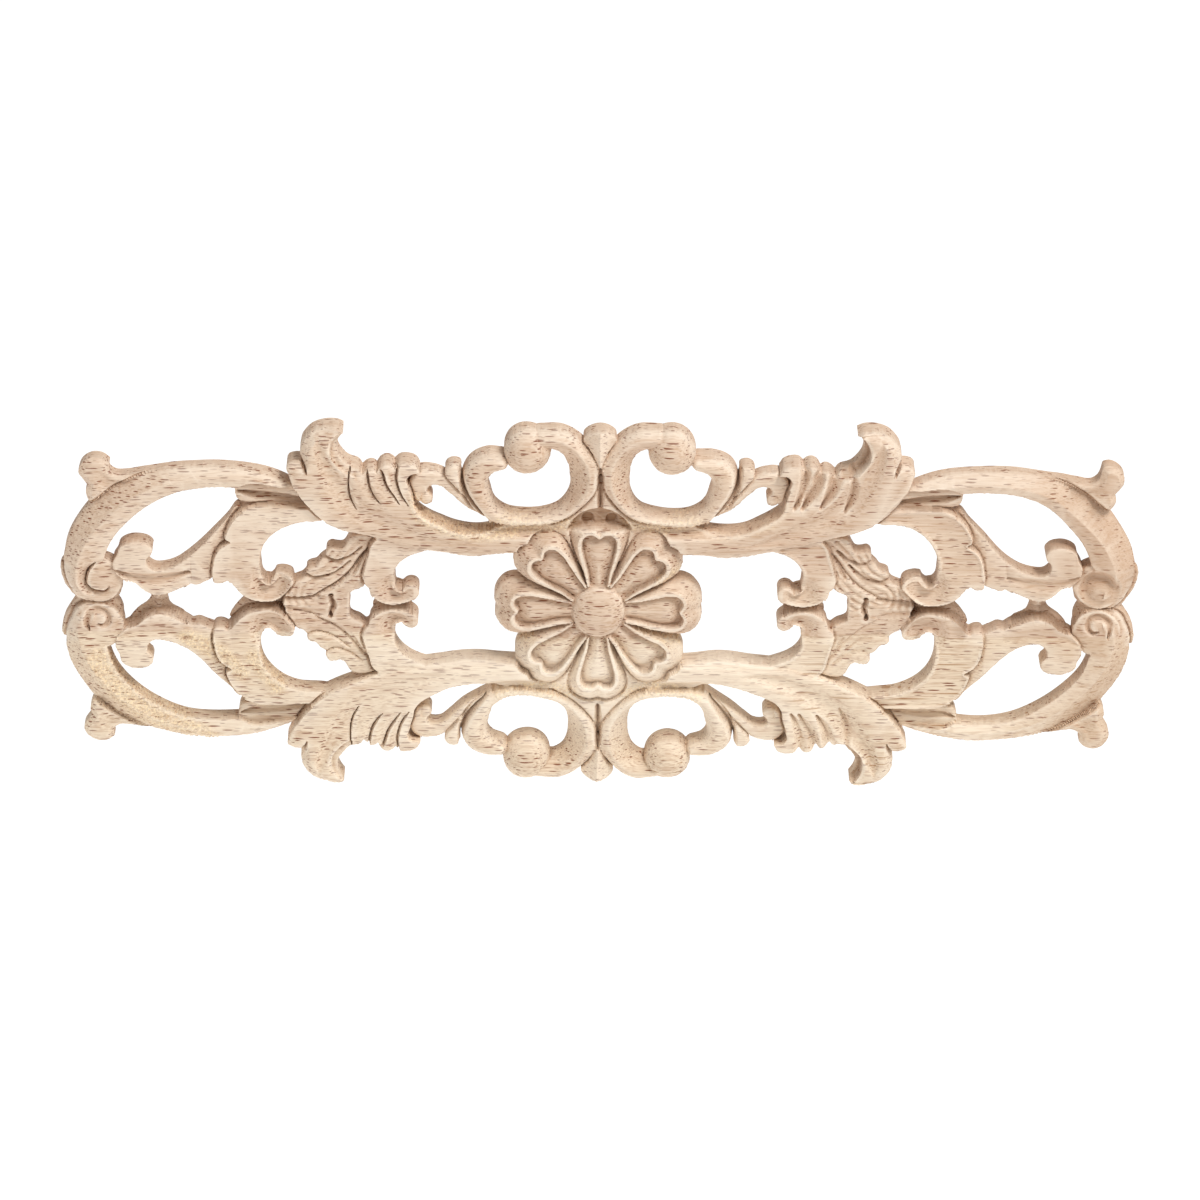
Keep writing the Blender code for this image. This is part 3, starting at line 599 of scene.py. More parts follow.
# %% The big leaf
LEAF_TOP = 11.4
LEAF = [
    (14, 20), (26, 19.8), (33, 19.1), (38.6, 18.6), (44, 18.8), (49.7, 19.5), (55.2, 20.2),
    (62, 21.5), (70, 23.5), (77.2, 26), (85.8, 29.3), (89.7, 31.4), (94.1, 35.5),
    (98, 40.5), (100.7, 46.5), (101.4, 49), (100.8, 50), (99.2, 50.7), (97, 50.9, CORNER),
    (97, 54.5), (96.4, 57), (95.1, 59), (93.1, 61), (90.5, 62.2), (87.4, 62.7),
    (84.9, 62.4), (83.2, 61.6, CORNER), (84.6, 59.6), (85.4, 57.3), (85.1, 54.8), (83.3, 51.8),
    (81.5, 50.1), (80.2, 49.5), (78.6, 49.1), (77.3, 48.2), (76.6, 47.0, CORNER), (75.6, 48),
    (74, 48.8), (72.6, 48.6), (71.8, 47.9, CORNER), (70.9, 49.5), (69, 50.6), (67, 50.2),
    (66, 49.3, CORNER), (64.4, 50.7), (61.8, 50.9), (59.2, 49.9), (57.9, 47.8, CORNER), (60.9, 47.3),
    (62.2, 45.5), (61.5, 43), (60.5, 40), (60.2, 36.6), (59, 34), (56.1, 31.8),
    (52.1, 29.7), (47.8, 27.7), (44, 26.8), (38.6, 26.6), (35, 27.2), (31, 28.8), (26, 29.0),
    (14, 28.4),
]
LEAF_VALLEY = [
    (46, 23.2, 0.5), (54, 24.2, 2.4), (62, 26.8, 4), (72, 31.5, 5.5), (80, 37.5, 5.8),
    (86, 45.5, 4.6), (89.5, 52, 3.2), (91, 57, 1.8), (91, 60, 0.4),
]
LEAF_CUTS = [
    [(81.6, 50.5, 0.5), (82.3, 46.6, 0.8), (82.3, 43.2, 1), (81.6, 39.4, 0.9), (79.4, 34.9, 0.3)],
    [(76.3, 49, 0.9), (75.9, 46.6, 1.3), (75.2, 43.2, 1.2), (73.6, 39.9, 0.9), (71.6, 37, 0.3)],
    [(71.6, 49, 0.9), (71.1, 47.7, 1.3), (69.9, 43.8, 1.2), (67.7, 39.9, 0.9), (65.7, 36.5, 0.3)],
    [(66.2, 50.5, 0.9), (66.8, 46.6, 1.3), (66.3, 43.2, 1.2), (64.9, 39.4, 0.9), (63.1, 36.5, 0.3)],
]
FLUTE_DEPTHS = (1.9, 3.0, 3.2, 2.8)
LEFT_CUT_SHIFT = 1.4
TIP_NICK = [(97.6, 53, 0.9), (95.7, 49.5, 0.8), (95, 47.5, 0.2)]
COVE_DEPTH = 6.0
UNDER_RING = 3.4
print("the leaf has", len(LEAF), "points and", len(LEAF_CUTS), "cuts")

# %% [markdown]
# A valley runs up the middle of the leaf. Its tip curls over, with a deep cove under the
# curl, and the tip's outer edge rolls down. Where the leaf's stem passes under the ring, it is
# lower. Where it meets the serrated leaf, its edge is merged into it without a step.

# %% Carving the leaf
def carve_leaf(board):
    inside = plate(LEAF)
    lower_edge = ramp(0.25 * (U - 44) - V, -25, -21) * ramp(-U, -82, -74)
    merged = 1.8 * (1 - ramp(inside, 0, 5)) ** 1.5 * lower_edge
    distance, _, half = stroke(LEAF_VALLEY)
    valley = by_side(1.4, 2.0) * soft(np.clip(1 - distance / half, 0, 1)) * ramp(half, 0.4, 3)
    tip = ramp(V, 44, 52) * ramp(U, 84, 89)
    inner_tip = ramp(V, 45, 50) * ramp(-V, -62, -60.6) * ramp(U, 76, 79) * ramp(-U, -92, -88)
    inner_tip = inner_tip * by_side(0.25, 1)
    cove_width = np.interp(V, [53, 61], [2.3, 0.8])
    roll = by_side(2.6, 2.2) * (1 - ramp(inside, 0, 2.8)) * tip
    in_cove = (1 - soft(ramp(inside - cove_width, -0.35, 0.35))) * inner_tip
    under_ring = UNDER_RING * soft(ramp(V, 24.6, 27.6)) * ramp(-U, -44, -33)
    face = LEAF_TOP - rounded(inside, 0.5) - valley - roll
    stop = 1.4 * np.maximum(ramp(U, 74, 80), ramp(V, 29, 33))
    board.lay(inside, face - merged - COVE_DEPTH * in_cove - under_ring, stop)
    # The cove is also painted brown, as painted shade.
    board.burn_and_shade = np.maximum(board.burn_and_shade, 0.3 * in_cove * (inside > 0))
    for line, depth in zip(LEAF_CUTS, FLUTE_DEPTHS):
        left_line = [(u - LEFT_CUT_SHIFT, v, half) for u, v, half in line]
        board.shingle(left_line, by_side(1.3, 0), 3.5, 1)
        board.cut(left_line, by_side(2.6, 0), 0.34)
        board.flute(line, by_side(0, depth) * by_row(1, 0.6), 2.2)
        board.cut(line, by_side(0, 0.3), 0.34)
    board.cut(TIP_NICK, 3.4, 0.8)


carve_leaf(board)
print("leaf: highest at", board.top.max(), "mm")

# %% [markdown]
# The rosette has eight equal petals, so one half petal is drawn along an axis and every cell
# is turned back onto it. A petal has a thin raised rim like a heart, a groove inside it and a
# tongue that runs out from the dome. Outside the rim its shoulder falls away in two lobes.

# %% The rosette
PETAL_TOP = 12.3
DOME_RISE = (10.9, 4.0)
DOME_RADIUS = 9.0
PETAL_ANGLE = 45.0
PETAL_RIM = [
    (7.5, 2.6), (14, 4.7), (19, 6.1), (23, 6.9), (26, 6.5), (28.2, 4.6), (28.7, 2.6),
    (27.2, 0, CORNER),
]
PETAL_SCOOP = [
    (7.5, 1.7), (14, 3.6), (19, 4.9), (23, 5.6), (25.6, 5.2), (27, 3.8), (27.2, 2.2), (26, 0),
]
PETAL_TONGUE = [
    (7.5, 1.3), (14, 3.3), (18.5, 4.7), (21.5, 5.0), (23.8, 4.3), (25.2, 2.6), (25.5, 0),
]
PETAL_BASE = [
    (7.5, 3.1), (14, 5.8), (20, 8.3), (24, 9.5), (27, 9.8), (30, 8.7), (31.9, 6.8),
    (33.1, 4.7), (33.6, 2.6), (32.9, 0, CORNER),
]
SCOOP_DEPTH = 3.2
TONGUE_RISE = 2.7
VALLEY_DEPTH = 1.6
print("half a petal's edge has", len(PETAL_BASE), "points")

# %% [markdown]
# Between a petal's rim and its outer edge, the shoulder falls by the share of the way that a
# cell lies out. The petals meet in narrow valleys. The dome covers their inner ends, in a
# shallow ring that is cut level first.

# %% Carving the rosette
def petal_distance(half, out, across):
    """How far inside a petal outline a point lies, with the petal turned onto its axis."""
    outline = half + [(p[0], -p[1]) for p in half[::-1] if p[1] > 0]
    line = smooth_line(outline, True)
    best = np.full(out.shape, FAR)
    crossed = np.zeros(out.shape, bool)
    for start, end in zip(line, np.roll(line, -1, axis=0)):
        du, dv = end - start
        t = np.clip(((out - start[0]) * du + (across - start[1]) * dv) / (du * du + dv * dv), 0, 1)
        best = np.minimum(best, np.hypot(out - start[0] - t * du, across - start[1] - t * dv))
        if dv:
            level = (across >= min(start[1], end[1])) & (across < max(start[1], end[1]))
            crossed ^= level & (out < start[0] + (across - start[1]) * du / dv)
    return np.where(crossed, best, -best)


def carve_rosette(board):
    radius = np.hypot(U, V)
    turn = np.degrees(np.arctan2(V, U)) + PETAL_ANGLE / 2
    off = np.radians(turn % PETAL_ANGLE - PETAL_ANGLE / 2)
    near = radius < 40
    out, across = (radius * np.cos(off))[near], (radius * np.sin(off))[near]

    def petal(half):
        full = np.full(U.shape, -FAR)
        full[near] = petal_distance(half, out, across)
        return full

    rim, scoop, base = petal(PETAL_RIM), petal(PETAL_SCOOP), petal(PETAL_BASE)
    tongue = petal(PETAL_TONGUE)
    beyond = np.clip(-rim, 0, FAR)
    share = beyond / np.maximum(beyond + np.clip(base, 0, FAR), 0.01)
    between = (np.radians(PETAL_ANGLE / 2) - np.abs(off)) * radius
    valley = VALLEY_DEPTH * (1 - ramp(between, 0, 0.9)) * ramp(-radius, -29, -26)
    outer_step = 0.3 + 0.5 * ramp(beyond, 0, 0.5)
    shoulder = PETAL_TOP - outer_step - (2.8 + 1.8 * ramp(radius, 20, 27)) * share**1.4 - valley
    bulge = TONGUE_RISE * np.sin(np.pi / 2 * ramp(tongue, -0.5, 4.4))
    hollow = PETAL_TOP - SCOOP_DEPTH * soft(ramp(scoop, -0.2, 0.4)) + bulge
    board.lay(base, np.where(rim > 0, hollow, shoulder) - rounded(base, 0.6), 0.3)
    near_dome = soft(ramp(-radius, -DOME_RADIUS - 0.7, -DOME_RADIUS - 0.1))
    board.top = board.top + (PETAL_TOP - 1.3 - board.top) * near_dome
    dome = DOME_RISE[0] + DOME_RISE[1] * np.sqrt(1 - ramp(radius, 0, DOME_RADIUS + 0.1) ** 2)
    board.lay(DOME_RADIUS - radius, dome)


carve_rosette(board)
print("rosette: highest at", board.top.max(), "mm")

# %% [markdown]
# Above the top petal the carver cleaned out a small pocket, and the two holes that were
# drilled to start it still show as round marks with a scorched brown floor. The pocket's floor
# is painted brown as well, as painted shade.

# %% The drilled pocket
POCKET_ARCH = (0, 24.2, 11.4)
POCKET_FLOOR = 6.2
DRILL_MARK = (3.8, 30.8, 2.2)
DRILL_DEPTH = 1.6


def carve_pocket(board):
    """A pocket beyond the top petal, cleaned out down to two round drill marks."""
    upper = 1 - LOWER
    outside_petal = soft(ramp(np.hypot(U, V), 28.6, 30.0))
    depth = soft(ramp(disc(POCKET_ARCH), 0, 1.3)) * outside_petal * upper
    board.top = board.top + (np.minimum(board.top, POCKET_FLOOR) - board.top) * depth
    drilled = soft(ramp(disc(DRILL_MARK), 0, 0.6)) * upper
    board.top = board.top - DRILL_DEPTH * drilled
    # The pocket's floor gets painted shade, and the drill marks get a burn mark.
    board.burn_and_shade = np.maximum(board.burn_and_shade, np.maximum(0.7 * depth, drilled))


carve_pocket(board)
print("the pocket's floor is", POCKET_FLOOR, "mm above the back")

# %% [markdown]
# A worn spot between the two boards of each serrated leaf went right through. It is a small
# pinhole, so it is taken out of the outline rather than cut as a groove.

# %% The pinhole
PINHOLE = (87.0, 3.6, 0.9)
board.inside = np.minimum(board.inside, -disc(PINHOLE))
print("wood covers", round(float((board.inside > 0).mean()), 2), "of the board")

# %% [markdown]
# The four quarters are joined into one sheet. Then a slow drift of a few tenths of a
# millimetre is added to where each point lies. It stands for the carver's hand, and keeps
# the left and right halves from being exact mirror images.

# %% The whole sheet, with the carver's drift
def joined(quarters):
    """The whole sheet from its quarters: upper right, upper left, lower left, lower right."""
    upper = np.concatenate([quarters[1][:, :0:-1], quarters[0]], axis=1)
    lower = np.concatenate([quarters[2][:, :0:-1], quarters[3]], axis=1)
    return np.concatenate([lower[:0:-1], upper], axis=0)


def drift(x, z, size, seed):
    """A smooth wandering of the hand, the same for the same seed."""
    draw = np.random.default_rng(seed)
    total = np.zeros(x.shape)
    for _ in range(6):
        turn, phase = draw.uniform(0, 2 * np.pi, 2)
        wave = draw.uniform(18, 45)
        total += np.sin((x * np.cos(turn) + z * np.sin(turn)) * 2 * np.pi / wave + phase)
    return total * size / 2.5


inside = joined(board.inside)
top = joined(board.top)
print("the sheet has", inside.shape[1], "by", inside.shape[0], "cells")

# %% [markdown]
# Now the outline is cut. Every cell becomes two triangles, and those that the outline
# crosses are clipped where it passes. Points that lie very close to it are moved onto it
# first, so that no thin slivers are left.

# %% Cutting the sheet along the outline
def front_triangles(inside, top):
    """Points (x, z, height) of the sheet and the triangles that lie in the wood."""
    rows, columns = inside.shape
    z, x = np.mgrid[0:rows, 0:columns].astype(float)
    x = (x - (columns - 1) / 2) * PITCH
    z = (z - (rows - 1) / 2) * PITCH
    flip = ((x[:-1, :-1] * z[:-1, :-1]) > 0).ravel()
    slope_z, slope_x = np.gradient(inside, PITCH)
    steep = np.maximum(slope_x**2 + slope_z**2, 0.25)
    close = np.abs(inside) < 0.3 * PITCH
    x = np.where(close, x - inside * slope_x / steep, x)
    z = np.where(close, z - inside * slope_z / steep, z)
    level = np.where(close, 0.0, inside).ravel()
    flat = np.stack([x.ravel(), z.ravel(), top.ravel()], axis=1)
    index = np.arange(rows * columns).reshape(rows, columns)
    low_left, low_right = index[:-1, :-1].ravel(), index[:-1, 1:].ravel()
    top_left, top_right = index[1:, :-1].ravel(), index[1:, 1:].ravel()
    cells = np.concatenate([
        np.stack([low_left, low_right, np.where(flip, top_right, top_left)], axis=1),
        np.stack([np.where(flip, low_left, low_right), top_right, top_left], axis=1),
    ])
    above, below = level[cells] > 0, level[cells] < 0
    mixed = cells[above.any(axis=1) & below.any(axis=1)]
    cut_points, made, pieces = {}, [], []

    def crossing(a, b):
        key = (min(a, b), max(a, b))
        if key not in cut_points:
            share = level[key[0]] / (level[key[0]] - level[key[1]])
            made.append(flat[key[0]] + share * (flat[key[1]] - flat[key[0]]))
            cut_points[key] = len(flat) + len(made) - 1
        return cut_points[key]

    for cell in mixed.tolist():
        ring = []
        for a, b in zip(cell, cell[1:] + cell[:1]):
            if level[a] >= 0:
                ring.append(a)
            if level[a] * level[b] < 0:
                ring.append(crossing(a, b))
        pieces.extend((ring[0], ring[k], ring[k + 1]) for k in range(1, len(ring) - 1))
    whole = cells[above.any(axis=1) & ~below.any(axis=1)]
    return np.concatenate([flat, np.array(made)]), np.concatenate([whole, np.array(pieces)])


points, triangles = front_triangles(inside, top)
print("the front has", len(triangles), "triangles")

# %% [markdown]
# The board is closed with a flat back and with walls of several rows, so that the walls can
# take tool marks. Points on the walls' rows lie straight behind the outline's points.

# %% Walls and back
WALL_ROWS = 5


def solid_mesh(name, points, triangles):
    """A closed mesh in metres, with the front facing -Y and the back on y = 0."""
    used, triangles = np.unique(triangles, return_inverse=True)
    triangles = triangles.reshape(-1, 3)
    points = points[used]
    count = len(points)
    wander_x = drift(points[:, 0], points[:, 1], 0.3, 4)
    wander_z = drift(points[:, 0], points[:, 1], 0.3, 9)
    front = np.stack([points[:, 0] + wander_x, -points[:, 2], points[:, 1] + wander_z], axis=1) * MM
    pairs = np.concatenate([triangles[:, [0, 1]], triangles[:, [1, 2]], triangles[:, [2, 0]]])
    forward = pairs[:, 0] * count + pairs[:, 1]
    backward = pairs[:, 1] * count + pairs[:, 0]
    rim = pairs[~np.isin(forward, backward)]
    edge = np.unique(rim)
    place = np.full(count, -1)
    place[edge] = np.arange(len(edge))
    rows = [front]
    for row in range(1, WALL_ROWS):
        rows.append(front[edge] * (1, 1 - row / WALL_ROWS, 1))
    rows.append(front * (1, 0, 1))
    starts = [0] + [count + len(edge) * k for k in range(WALL_ROWS)]

    def row_point(row, point):
        """The index of an outline point in one row of the wall."""
        if row in (0, WALL_ROWS):
            return starts[row] + point
        return starts[row] + place[point]

    walls = [
        np.stack([
            row_point(row, rim[:, 1]), row_point(row, rim[:, 0]),
            row_point(row + 1, rim[:, 0]), row_point(row + 1, rim[:, 1]),
        ], axis=1)
        for row in range(WALL_ROWS)
    ]
    quads = np.concatenate(walls)
    halves = np.concatenate([quads[:, [0, 1, 2]], quads[:, [0, 2, 3]]])
    faces = np.concatenate([triangles, triangles[:, ::-1] + starts[-1], halves])
    mesh = bpy.data.meshes.new(name)
    mesh.from_pydata(np.concatenate(rows).tolist(), [], faces.tolist())
    mesh.update()
    return mesh


carving = bpy.data.objects.new("carved_wood", solid_mesh("carved_wood", points, triangles))
bpy.context.scene.collection.objects.link(carving)
print("the closed board has", len(carving.data.polygons), "triangles")

# %% [markdown]
# Where the grain stood up against the cutter, the wood is fuzzy. Those places are drawn as
# strokes too, and each is only on the quarters that it names.

# %% Where the wood is fuzzy
FUZZY = [
    (
        by_side(1, 0.25) * (1 - LOWER),
        [(28, 28, 2.5), (38, 27.5, 3), (48, 29.5, 3), (57, 33.5, 3), (60, 38, 2)],
    ),
    (by_side(1, 1), [(9, 30, 2), (20, 29, 2.5), (32, 31, 2)]),
    (LOWER * (1 - RIGHT), [(126, 47, 2), (142, 41, 5), (155, 31, 5), (163, 20, 4)]),
    (LOWER * (1 - RIGHT), [(105, 28, 3), (112, 18, 3)]),
    (LOWER * (1 - RIGHT), [(134, 12, 3), (122, 18, 3), (116, 24, 2)]),
    (UPPER_RIGHT, [(20, 11, 1.5), (27, 14, 1.5), (31, 10, 1.5)]),
    (LOWER * RIGHT, [(13, 5.5, 1.2), (22, 9.5, 1.5), (29, 12.5, 1.5)]),
    (LOWER * (1 - RIGHT), [(22, 9.5, 1.2), (29, 12.5, 1.5)]),
]
for quarters, line in FUZZY:
    distance, _, half = stroke(line)
    patch = soft(ramp(half - distance, -1.2, 1.2)) * quarters
    board.fuzz = np.maximum(board.fuzz, patch)
fuzz = joined(board.fuzz)
print("fuzz covers", round(float((fuzz > 0.5).mean()), 3), "of the sheet")

# %% [markdown]
# The mesh's points don't lie exactly on the sheet's cells. So a value is read off by
# weighing the four cells round a point, and is kept on the mesh as an attribute.

# %% From the sheet to the mesh
def read_off(sheet, x, z):
    """The sheet's value at each point, in millimetres from the middle."""
    column = np.clip(x / PITCH + (sheet.shape[1] - 1) / 2, 0, sheet.shape[1] - 1.001)
    row = np.clip(z / PITCH + (sheet.shape[0] - 1) / 2, 0, sheet.shape[0] - 1.001)
    i, j = row.astype(int), column.astype(int)
    s, t = row - i, column - j
    low = sheet[i, j] * (1 - t) + sheet[i, j + 1] * t
    high = sheet[i + 1, j] * (1 - t) + sheet[i + 1, j + 1] * t
    return low * (1 - s) + high * s


def store(mesh, name, values):
    """Keeps one number for each point of a mesh, for a material or a node tree to read."""
    layer = mesh.attributes.get(name) or mesh.attributes.new(name, "FLOAT", "POINT")
    layer.data.foreach_set("value", values.astype(np.float32))


def places(mesh):
    """The mesh's points as rows of x, y and z, in millimetres."""
    flat = np.zeros(len(mesh.vertices) * 3)
    mesh.vertices.foreach_get("co", flat)
    return flat.reshape(-1, 3) / MM


spots = places(carving.data)
store(carving.data, "fuzz", read_off(fuzz, spots[:, 0], spots[:, 2]))
print("the mesh has", len(spots), "points")

# %% [markdown]
# Both Geometry Nodes and materials are trees of nodes. One helper makes a node and sets its
# inputs: a socket is linked to its input, and any other value is set on it.

# %% A helper for node trees
def add_node(tree, kind, inputs=None, **settings):
    """A new node with its settings, its unlinked inputs' values and its linked inputs."""
    made = tree.nodes.new(kind)
    for name, value in settings.items():
        setattr(made, name, value)
    for name, value in (inputs or {}).items():
        if isinstance(value, bpy.types.NodeSocket):
            tree.links.new(value, made.inputs[name])
        else:
            made.inputs[name].default_value = value
    return made


print("the helper sets inputs by name or by number")

# %% [markdown]
# The router that cut the openings left chatter: fine ridges that run from front to back over
# every wall. They follow the surface, which makes them work for Geometry Nodes. The tree
# pushes each point along its normal by a noise that is stretched from front to back. On the
# fuzzy places a second, finer noise is added. Its sizes are the tree's own inputs.

# %% Router chatter with Geometry Nodes
def chatter_tree():
    """A node tree that roughens the walls and the fuzzy places."""
    tree = bpy.data.node_groups.new("router chatter", "GeometryNodeTree")
    tree.interface.new_socket("Wood", in_out="INPUT", socket_type="NodeSocketGeometry")
    for name in ("Chatter depth", "Fuzz depth", "Ridge width", "Seed"):
        tree.interface.new_socket(name, in_out="INPUT", socket_type="NodeSocketFloat")
    tree.interface.new_socket("Finish", in_out="INPUT", socket_type="NodeSocketMaterial")
    tree.interface.new_socket("Wood", in_out="OUTPUT", socket_type="NodeSocketGeometry")
    start = add_node(tree, "NodeGroupInput").outputs
    place = add_node(tree, "GeometryNodeInputPosition").outputs[0]
    normal = add_node(tree, "GeometryNodeInputNormal").outputs[0]
    fuzzy = add_node(
        tree, "GeometryNodeInputNamedAttribute", {"Name": "fuzz"}, data_type="FLOAT",
    ).outputs[0]

    def vector(operation, a, b):
        """A vector node's result. The number that scales a vector has an input of its own."""
        second = "Scale" if operation == "SCALE" else 1
        made = add_node(tree, "ShaderNodeVectorMath", {0: a, second: b}, operation=operation)
        return made.outputs[0]

    def number(operation, a, b):
        return add_node(tree, "ShaderNodeMath", {0: a, 1: b}, operation=operation).outputs[0]

    def swing(stretch, across, detail, seed_step):
        """A noise from -1 to 1. Its grain is stretched, and one ridge is across wide."""
        scaled = vector("SCALE", vector("MULTIPLY", place, stretch), number("DIVIDE", 1.0, across))
        seed = number("ADD", start["Seed"], seed_step)
        noise = add_node(
            tree, "ShaderNodeTexNoise",
            {"Vector": scaled, "W": seed, "Scale": 1.0, "Detail": detail}, noise_dimensions="4D",
        )
        return number("MULTIPLY", number("SUBTRACT", noise.outputs["Fac"], 0.5), 2.0)

    facing = add_node(tree, "ShaderNodeSeparateXYZ", {0: normal}).outputs[1]
    level = number("ABSOLUTE", facing, 0.0)
    wall = add_node(
        tree, "ShaderNodeMapRange",
        {"Value": level, "From Min": 0.7, "From Max": 0.35, "To Min": 0.0, "To Max": 1.0},
    ).outputs[0]
    front = add_node(
        tree, "ShaderNodeMapRange",
        {"Value": facing, "From Min": -0.1, "From Max": -0.4, "To Min": 0.0, "To Max": 1.0},
    ).outputs[0]
    along_walls = swing((1, 0.1, 1), start["Ridge width"], 1.0, 0.0)
    ridges = number("MULTIPLY", along_walls, start["Chatter depth"])
    fine = number("MULTIPLY", start["Ridge width"], 0.8)
    crumbs = number("MULTIPLY", swing((1, 0.55, 1), fine, 2.0, 7.0), start["Fuzz depth"])
    either = number("MAXIMUM", number("MULTIPLY", front, 0.55), wall)
    torn = number("MULTIPLY", number("MULTIPLY", crumbs, fuzzy), either)
    push = number("ADD", number("MULTIPLY", ridges, wall), torn)
    moved = add_node(
        tree, "GeometryNodeSetPosition",
        {"Geometry": start["Wood"], "Offset": vector("SCALE", normal, push)},
    ).outputs[0]
    plain = add_node(tree, "GeometryNodeRealizeInstances", {"Geometry": moved}).outputs[0]
    done = add_node(tree, "GeometryNodeSetMaterial", {"Geometry": plain, "Material": start["Finish"]})
    tree.links.new(done.outputs[0], add_node(tree, "NodeGroupOutput").inputs[0])
    return tree


roughening = chatter_tree()
print("the tree has", len(roughening.nodes), "nodes")

# %% [markdown]
# The tree is put on the carving as a modifier. Its inputs are set by their identifiers, and
# then the result is turned into plain mesh, because an export has no modifiers.

# %% The chatter on the carving
def settle(piece):
    """Turns a piece's modifiers into plain mesh, and takes them off."""
    graph = bpy.context.evaluated_depsgraph_get()
    mesh = bpy.data.meshes.new_from_object(piece.evaluated_get(graph))
    piece.modifiers.clear()
    piece.data = mesh


wood = bpy.data.materials.new("carved_wood")
chatter = carving.modifiers.new("router chatter", "NODES")
chatter.node_group = roughening
sizes = {
    "Chatter depth": 0.28 * MM, "Fuzz depth": 1.3 * MM, "Ridge width": 1.1 * MM,
    "Seed": 3.0, "Finish": wood,
}
for socket in roughening.interface.items_tree:
    if socket.item_type == "SOCKET" and socket.name in sizes:
        chatter[socket.identifier] = sizes[socket.name]
settle(carving)
moved_by = np.linalg.norm(places(carving.data) - spots, axis=1)
print("the chatter moves a point by up to", round(float(moved_by.max()), 2), "mm")

# %% [markdown]
# Flat stretches don't need as many triangles as the carved ones. The Decimate modifier
# merges points where that changes the form least, so the back and the plain walls give up
# nearly all of theirs. The back is then laid flat again, because it sits on a wall.

# %% Thinning out
BACK_LAYER = 0.25
thin = carving.modifiers.new("thin out", "DECIMATE")
thin.ratio = WORKING_TRIANGLES / len(carving.data.polygons)
settle(carving)
spots = places(carving.data)
flat_back = spots[:, 1] > -BACK_LAYER
spots[flat_back, 1] = 0.0
carving.data.vertices.foreach_set("co", (spots * MM).ravel())
carving.data.update()
print("the carving has", len(carving.data.polygons), "triangles")

# %% [markdown]
# The crests get a painted highlight and the cuts get painted shade. Both are read off the sheet:
# the height of each cell against the average height of the wood round it.

# %% Heights against the wood round them
def blurred(sheet, reach):
    """Each cell's average over a square, three times over, which is close to a soft blur."""
    for _ in range(3):
        for axis in (0, 1):
            width = [(0, 0), (0, 0)]
            width[axis] = (reach + 1, reach)
            run = np.pad(sheet, width, mode="edge").cumsum(axis=axis)
            size = sheet.shape[axis]
            ahead = np.take(run, np.arange(2 * reach + 1, 2 * reach + 1 + size), axis=axis)
            behind = np.take(run, np.arange(size), axis=axis)
            sheet = (ahead - behind) / (2 * reach + 1)
    return sheet


def above_average(reach_mm):
    """How far each cell stands above the wood near it, in millimetres."""
    cells = max(1, round(reach_mm / PITCH))
    return top - blurred(top * (inside > 0), cells)


fine_relief = above_average(0.5)
broad_relief = above_average(2.0)
print("the cuts go down to", round(float(fine_relief[inside > 1].min()), 1), "mm below the wood near them")

# %% [markdown]
# A hollow is a cell well below its surroundings, and a crest is one above them. Hollows get
# painted shade, and crests and the front edges along the outline get a painted highlight. Near
# the round dome the painted shade is weaker. On the walls and the back all of this fades out.
# The material reads it as point attributes.

# %% Hollows, crests and walls
round_dome = joined(np.broadcast_to(soft(ramp(disc((0, 0, 11)), 0, 1)), board.top.shape))
# Painted shade for the hollows and cuts.
hollow = 0.8 * ramp(-fine_relief, 0.1, 0.7) + 0.1 * ramp(-broad_relief, 0.4, 3.0)
hollow = hollow * (1 - 0.6 * round_dome)
well_inside = soft(ramp(inside, 0.5, 1.2))
# The crests and the outline's front edge get a painted highlight.
edge_highlight = 0.7 * (1 - soft(ramp(np.abs(inside - 0.3), 0.15, 0.7)))
crest = np.maximum(ramp(fine_relief, 0.04, 0.26) * well_inside, edge_highlight * ramp(top, 5, 7))
x, z = spots[:, 0], spots[:, 2]
below_front = read_off(top, x, z) + spots[:, 1]
on_front = 1 - soft(ramp(below_front, 0.2, 1.2))
store(carving.data, "hollow", read_off(hollow, x, z) * on_front)
store(carving.data, "crest", read_off(crest, x, z) * on_front)
store(carving.data, "burn_and_shade", read_off(joined(board.burn_and_shade), x, z) * on_front)
store(carving.data, "wall", 1 - on_front)
store(carving.data, "fuzz", read_off(fuzz, x, z) * (spots[:, 1] < -0.3))
print("hollows reach", round(float(hollow.max()), 2), "and crests", round(float(crest.max()), 2))

# %% [markdown]
# The blank was glued from two boards of rubberwood, and the joint runs along the whole
# length a little below the middle. The upper board is a pinkish tan and the lower one a
# yellower cream. The grain runs along x. Its pores are long tubes, so they show as short
# brown dashes on the face and as dots on the walls that look left or right. All of it is
# made from Object coordinates in millimetres, so the pattern goes right through the wood.

# %% The wood's colours
def colour(red, green, blue):
    """A screen colour from 0 to 255 as the linear colour that Blender's shaders use."""
    parts = []
    for part in (red, green, blue):
        c = part / 255
        parts.append(c / 12.92 if c <= 0.04045 else ((c + 0.055) / 1.055) ** 2.4)
    return (*parts, 1.0)


UPPER_BOARD = colour(215, 189, 165)
LOWER_BOARD = colour(228, 207, 180)
PALE_PATCH = colour(244, 224, 196)
# Brown streaks and fibres. The same brown is also painted shade on the walls.
STREAK_AND_SHADE = colour(188, 150, 118)
PORE = colour(134, 78, 48)
# Painted shade for the hollows.
HOLLOW_SHADE = colour(124, 84, 50)
# Burn marks, and painted shade in the pocket and the cove.
BURN_AND_SHADE_BROWN = colour(142, 92, 40)
# Painted highlight for the crests and edges, and painted light for the lower stems.
PALE_HIGHLIGHT = colour(250, 236, 216)
FUZZ_COLOUR = colour(255, 228, 184)
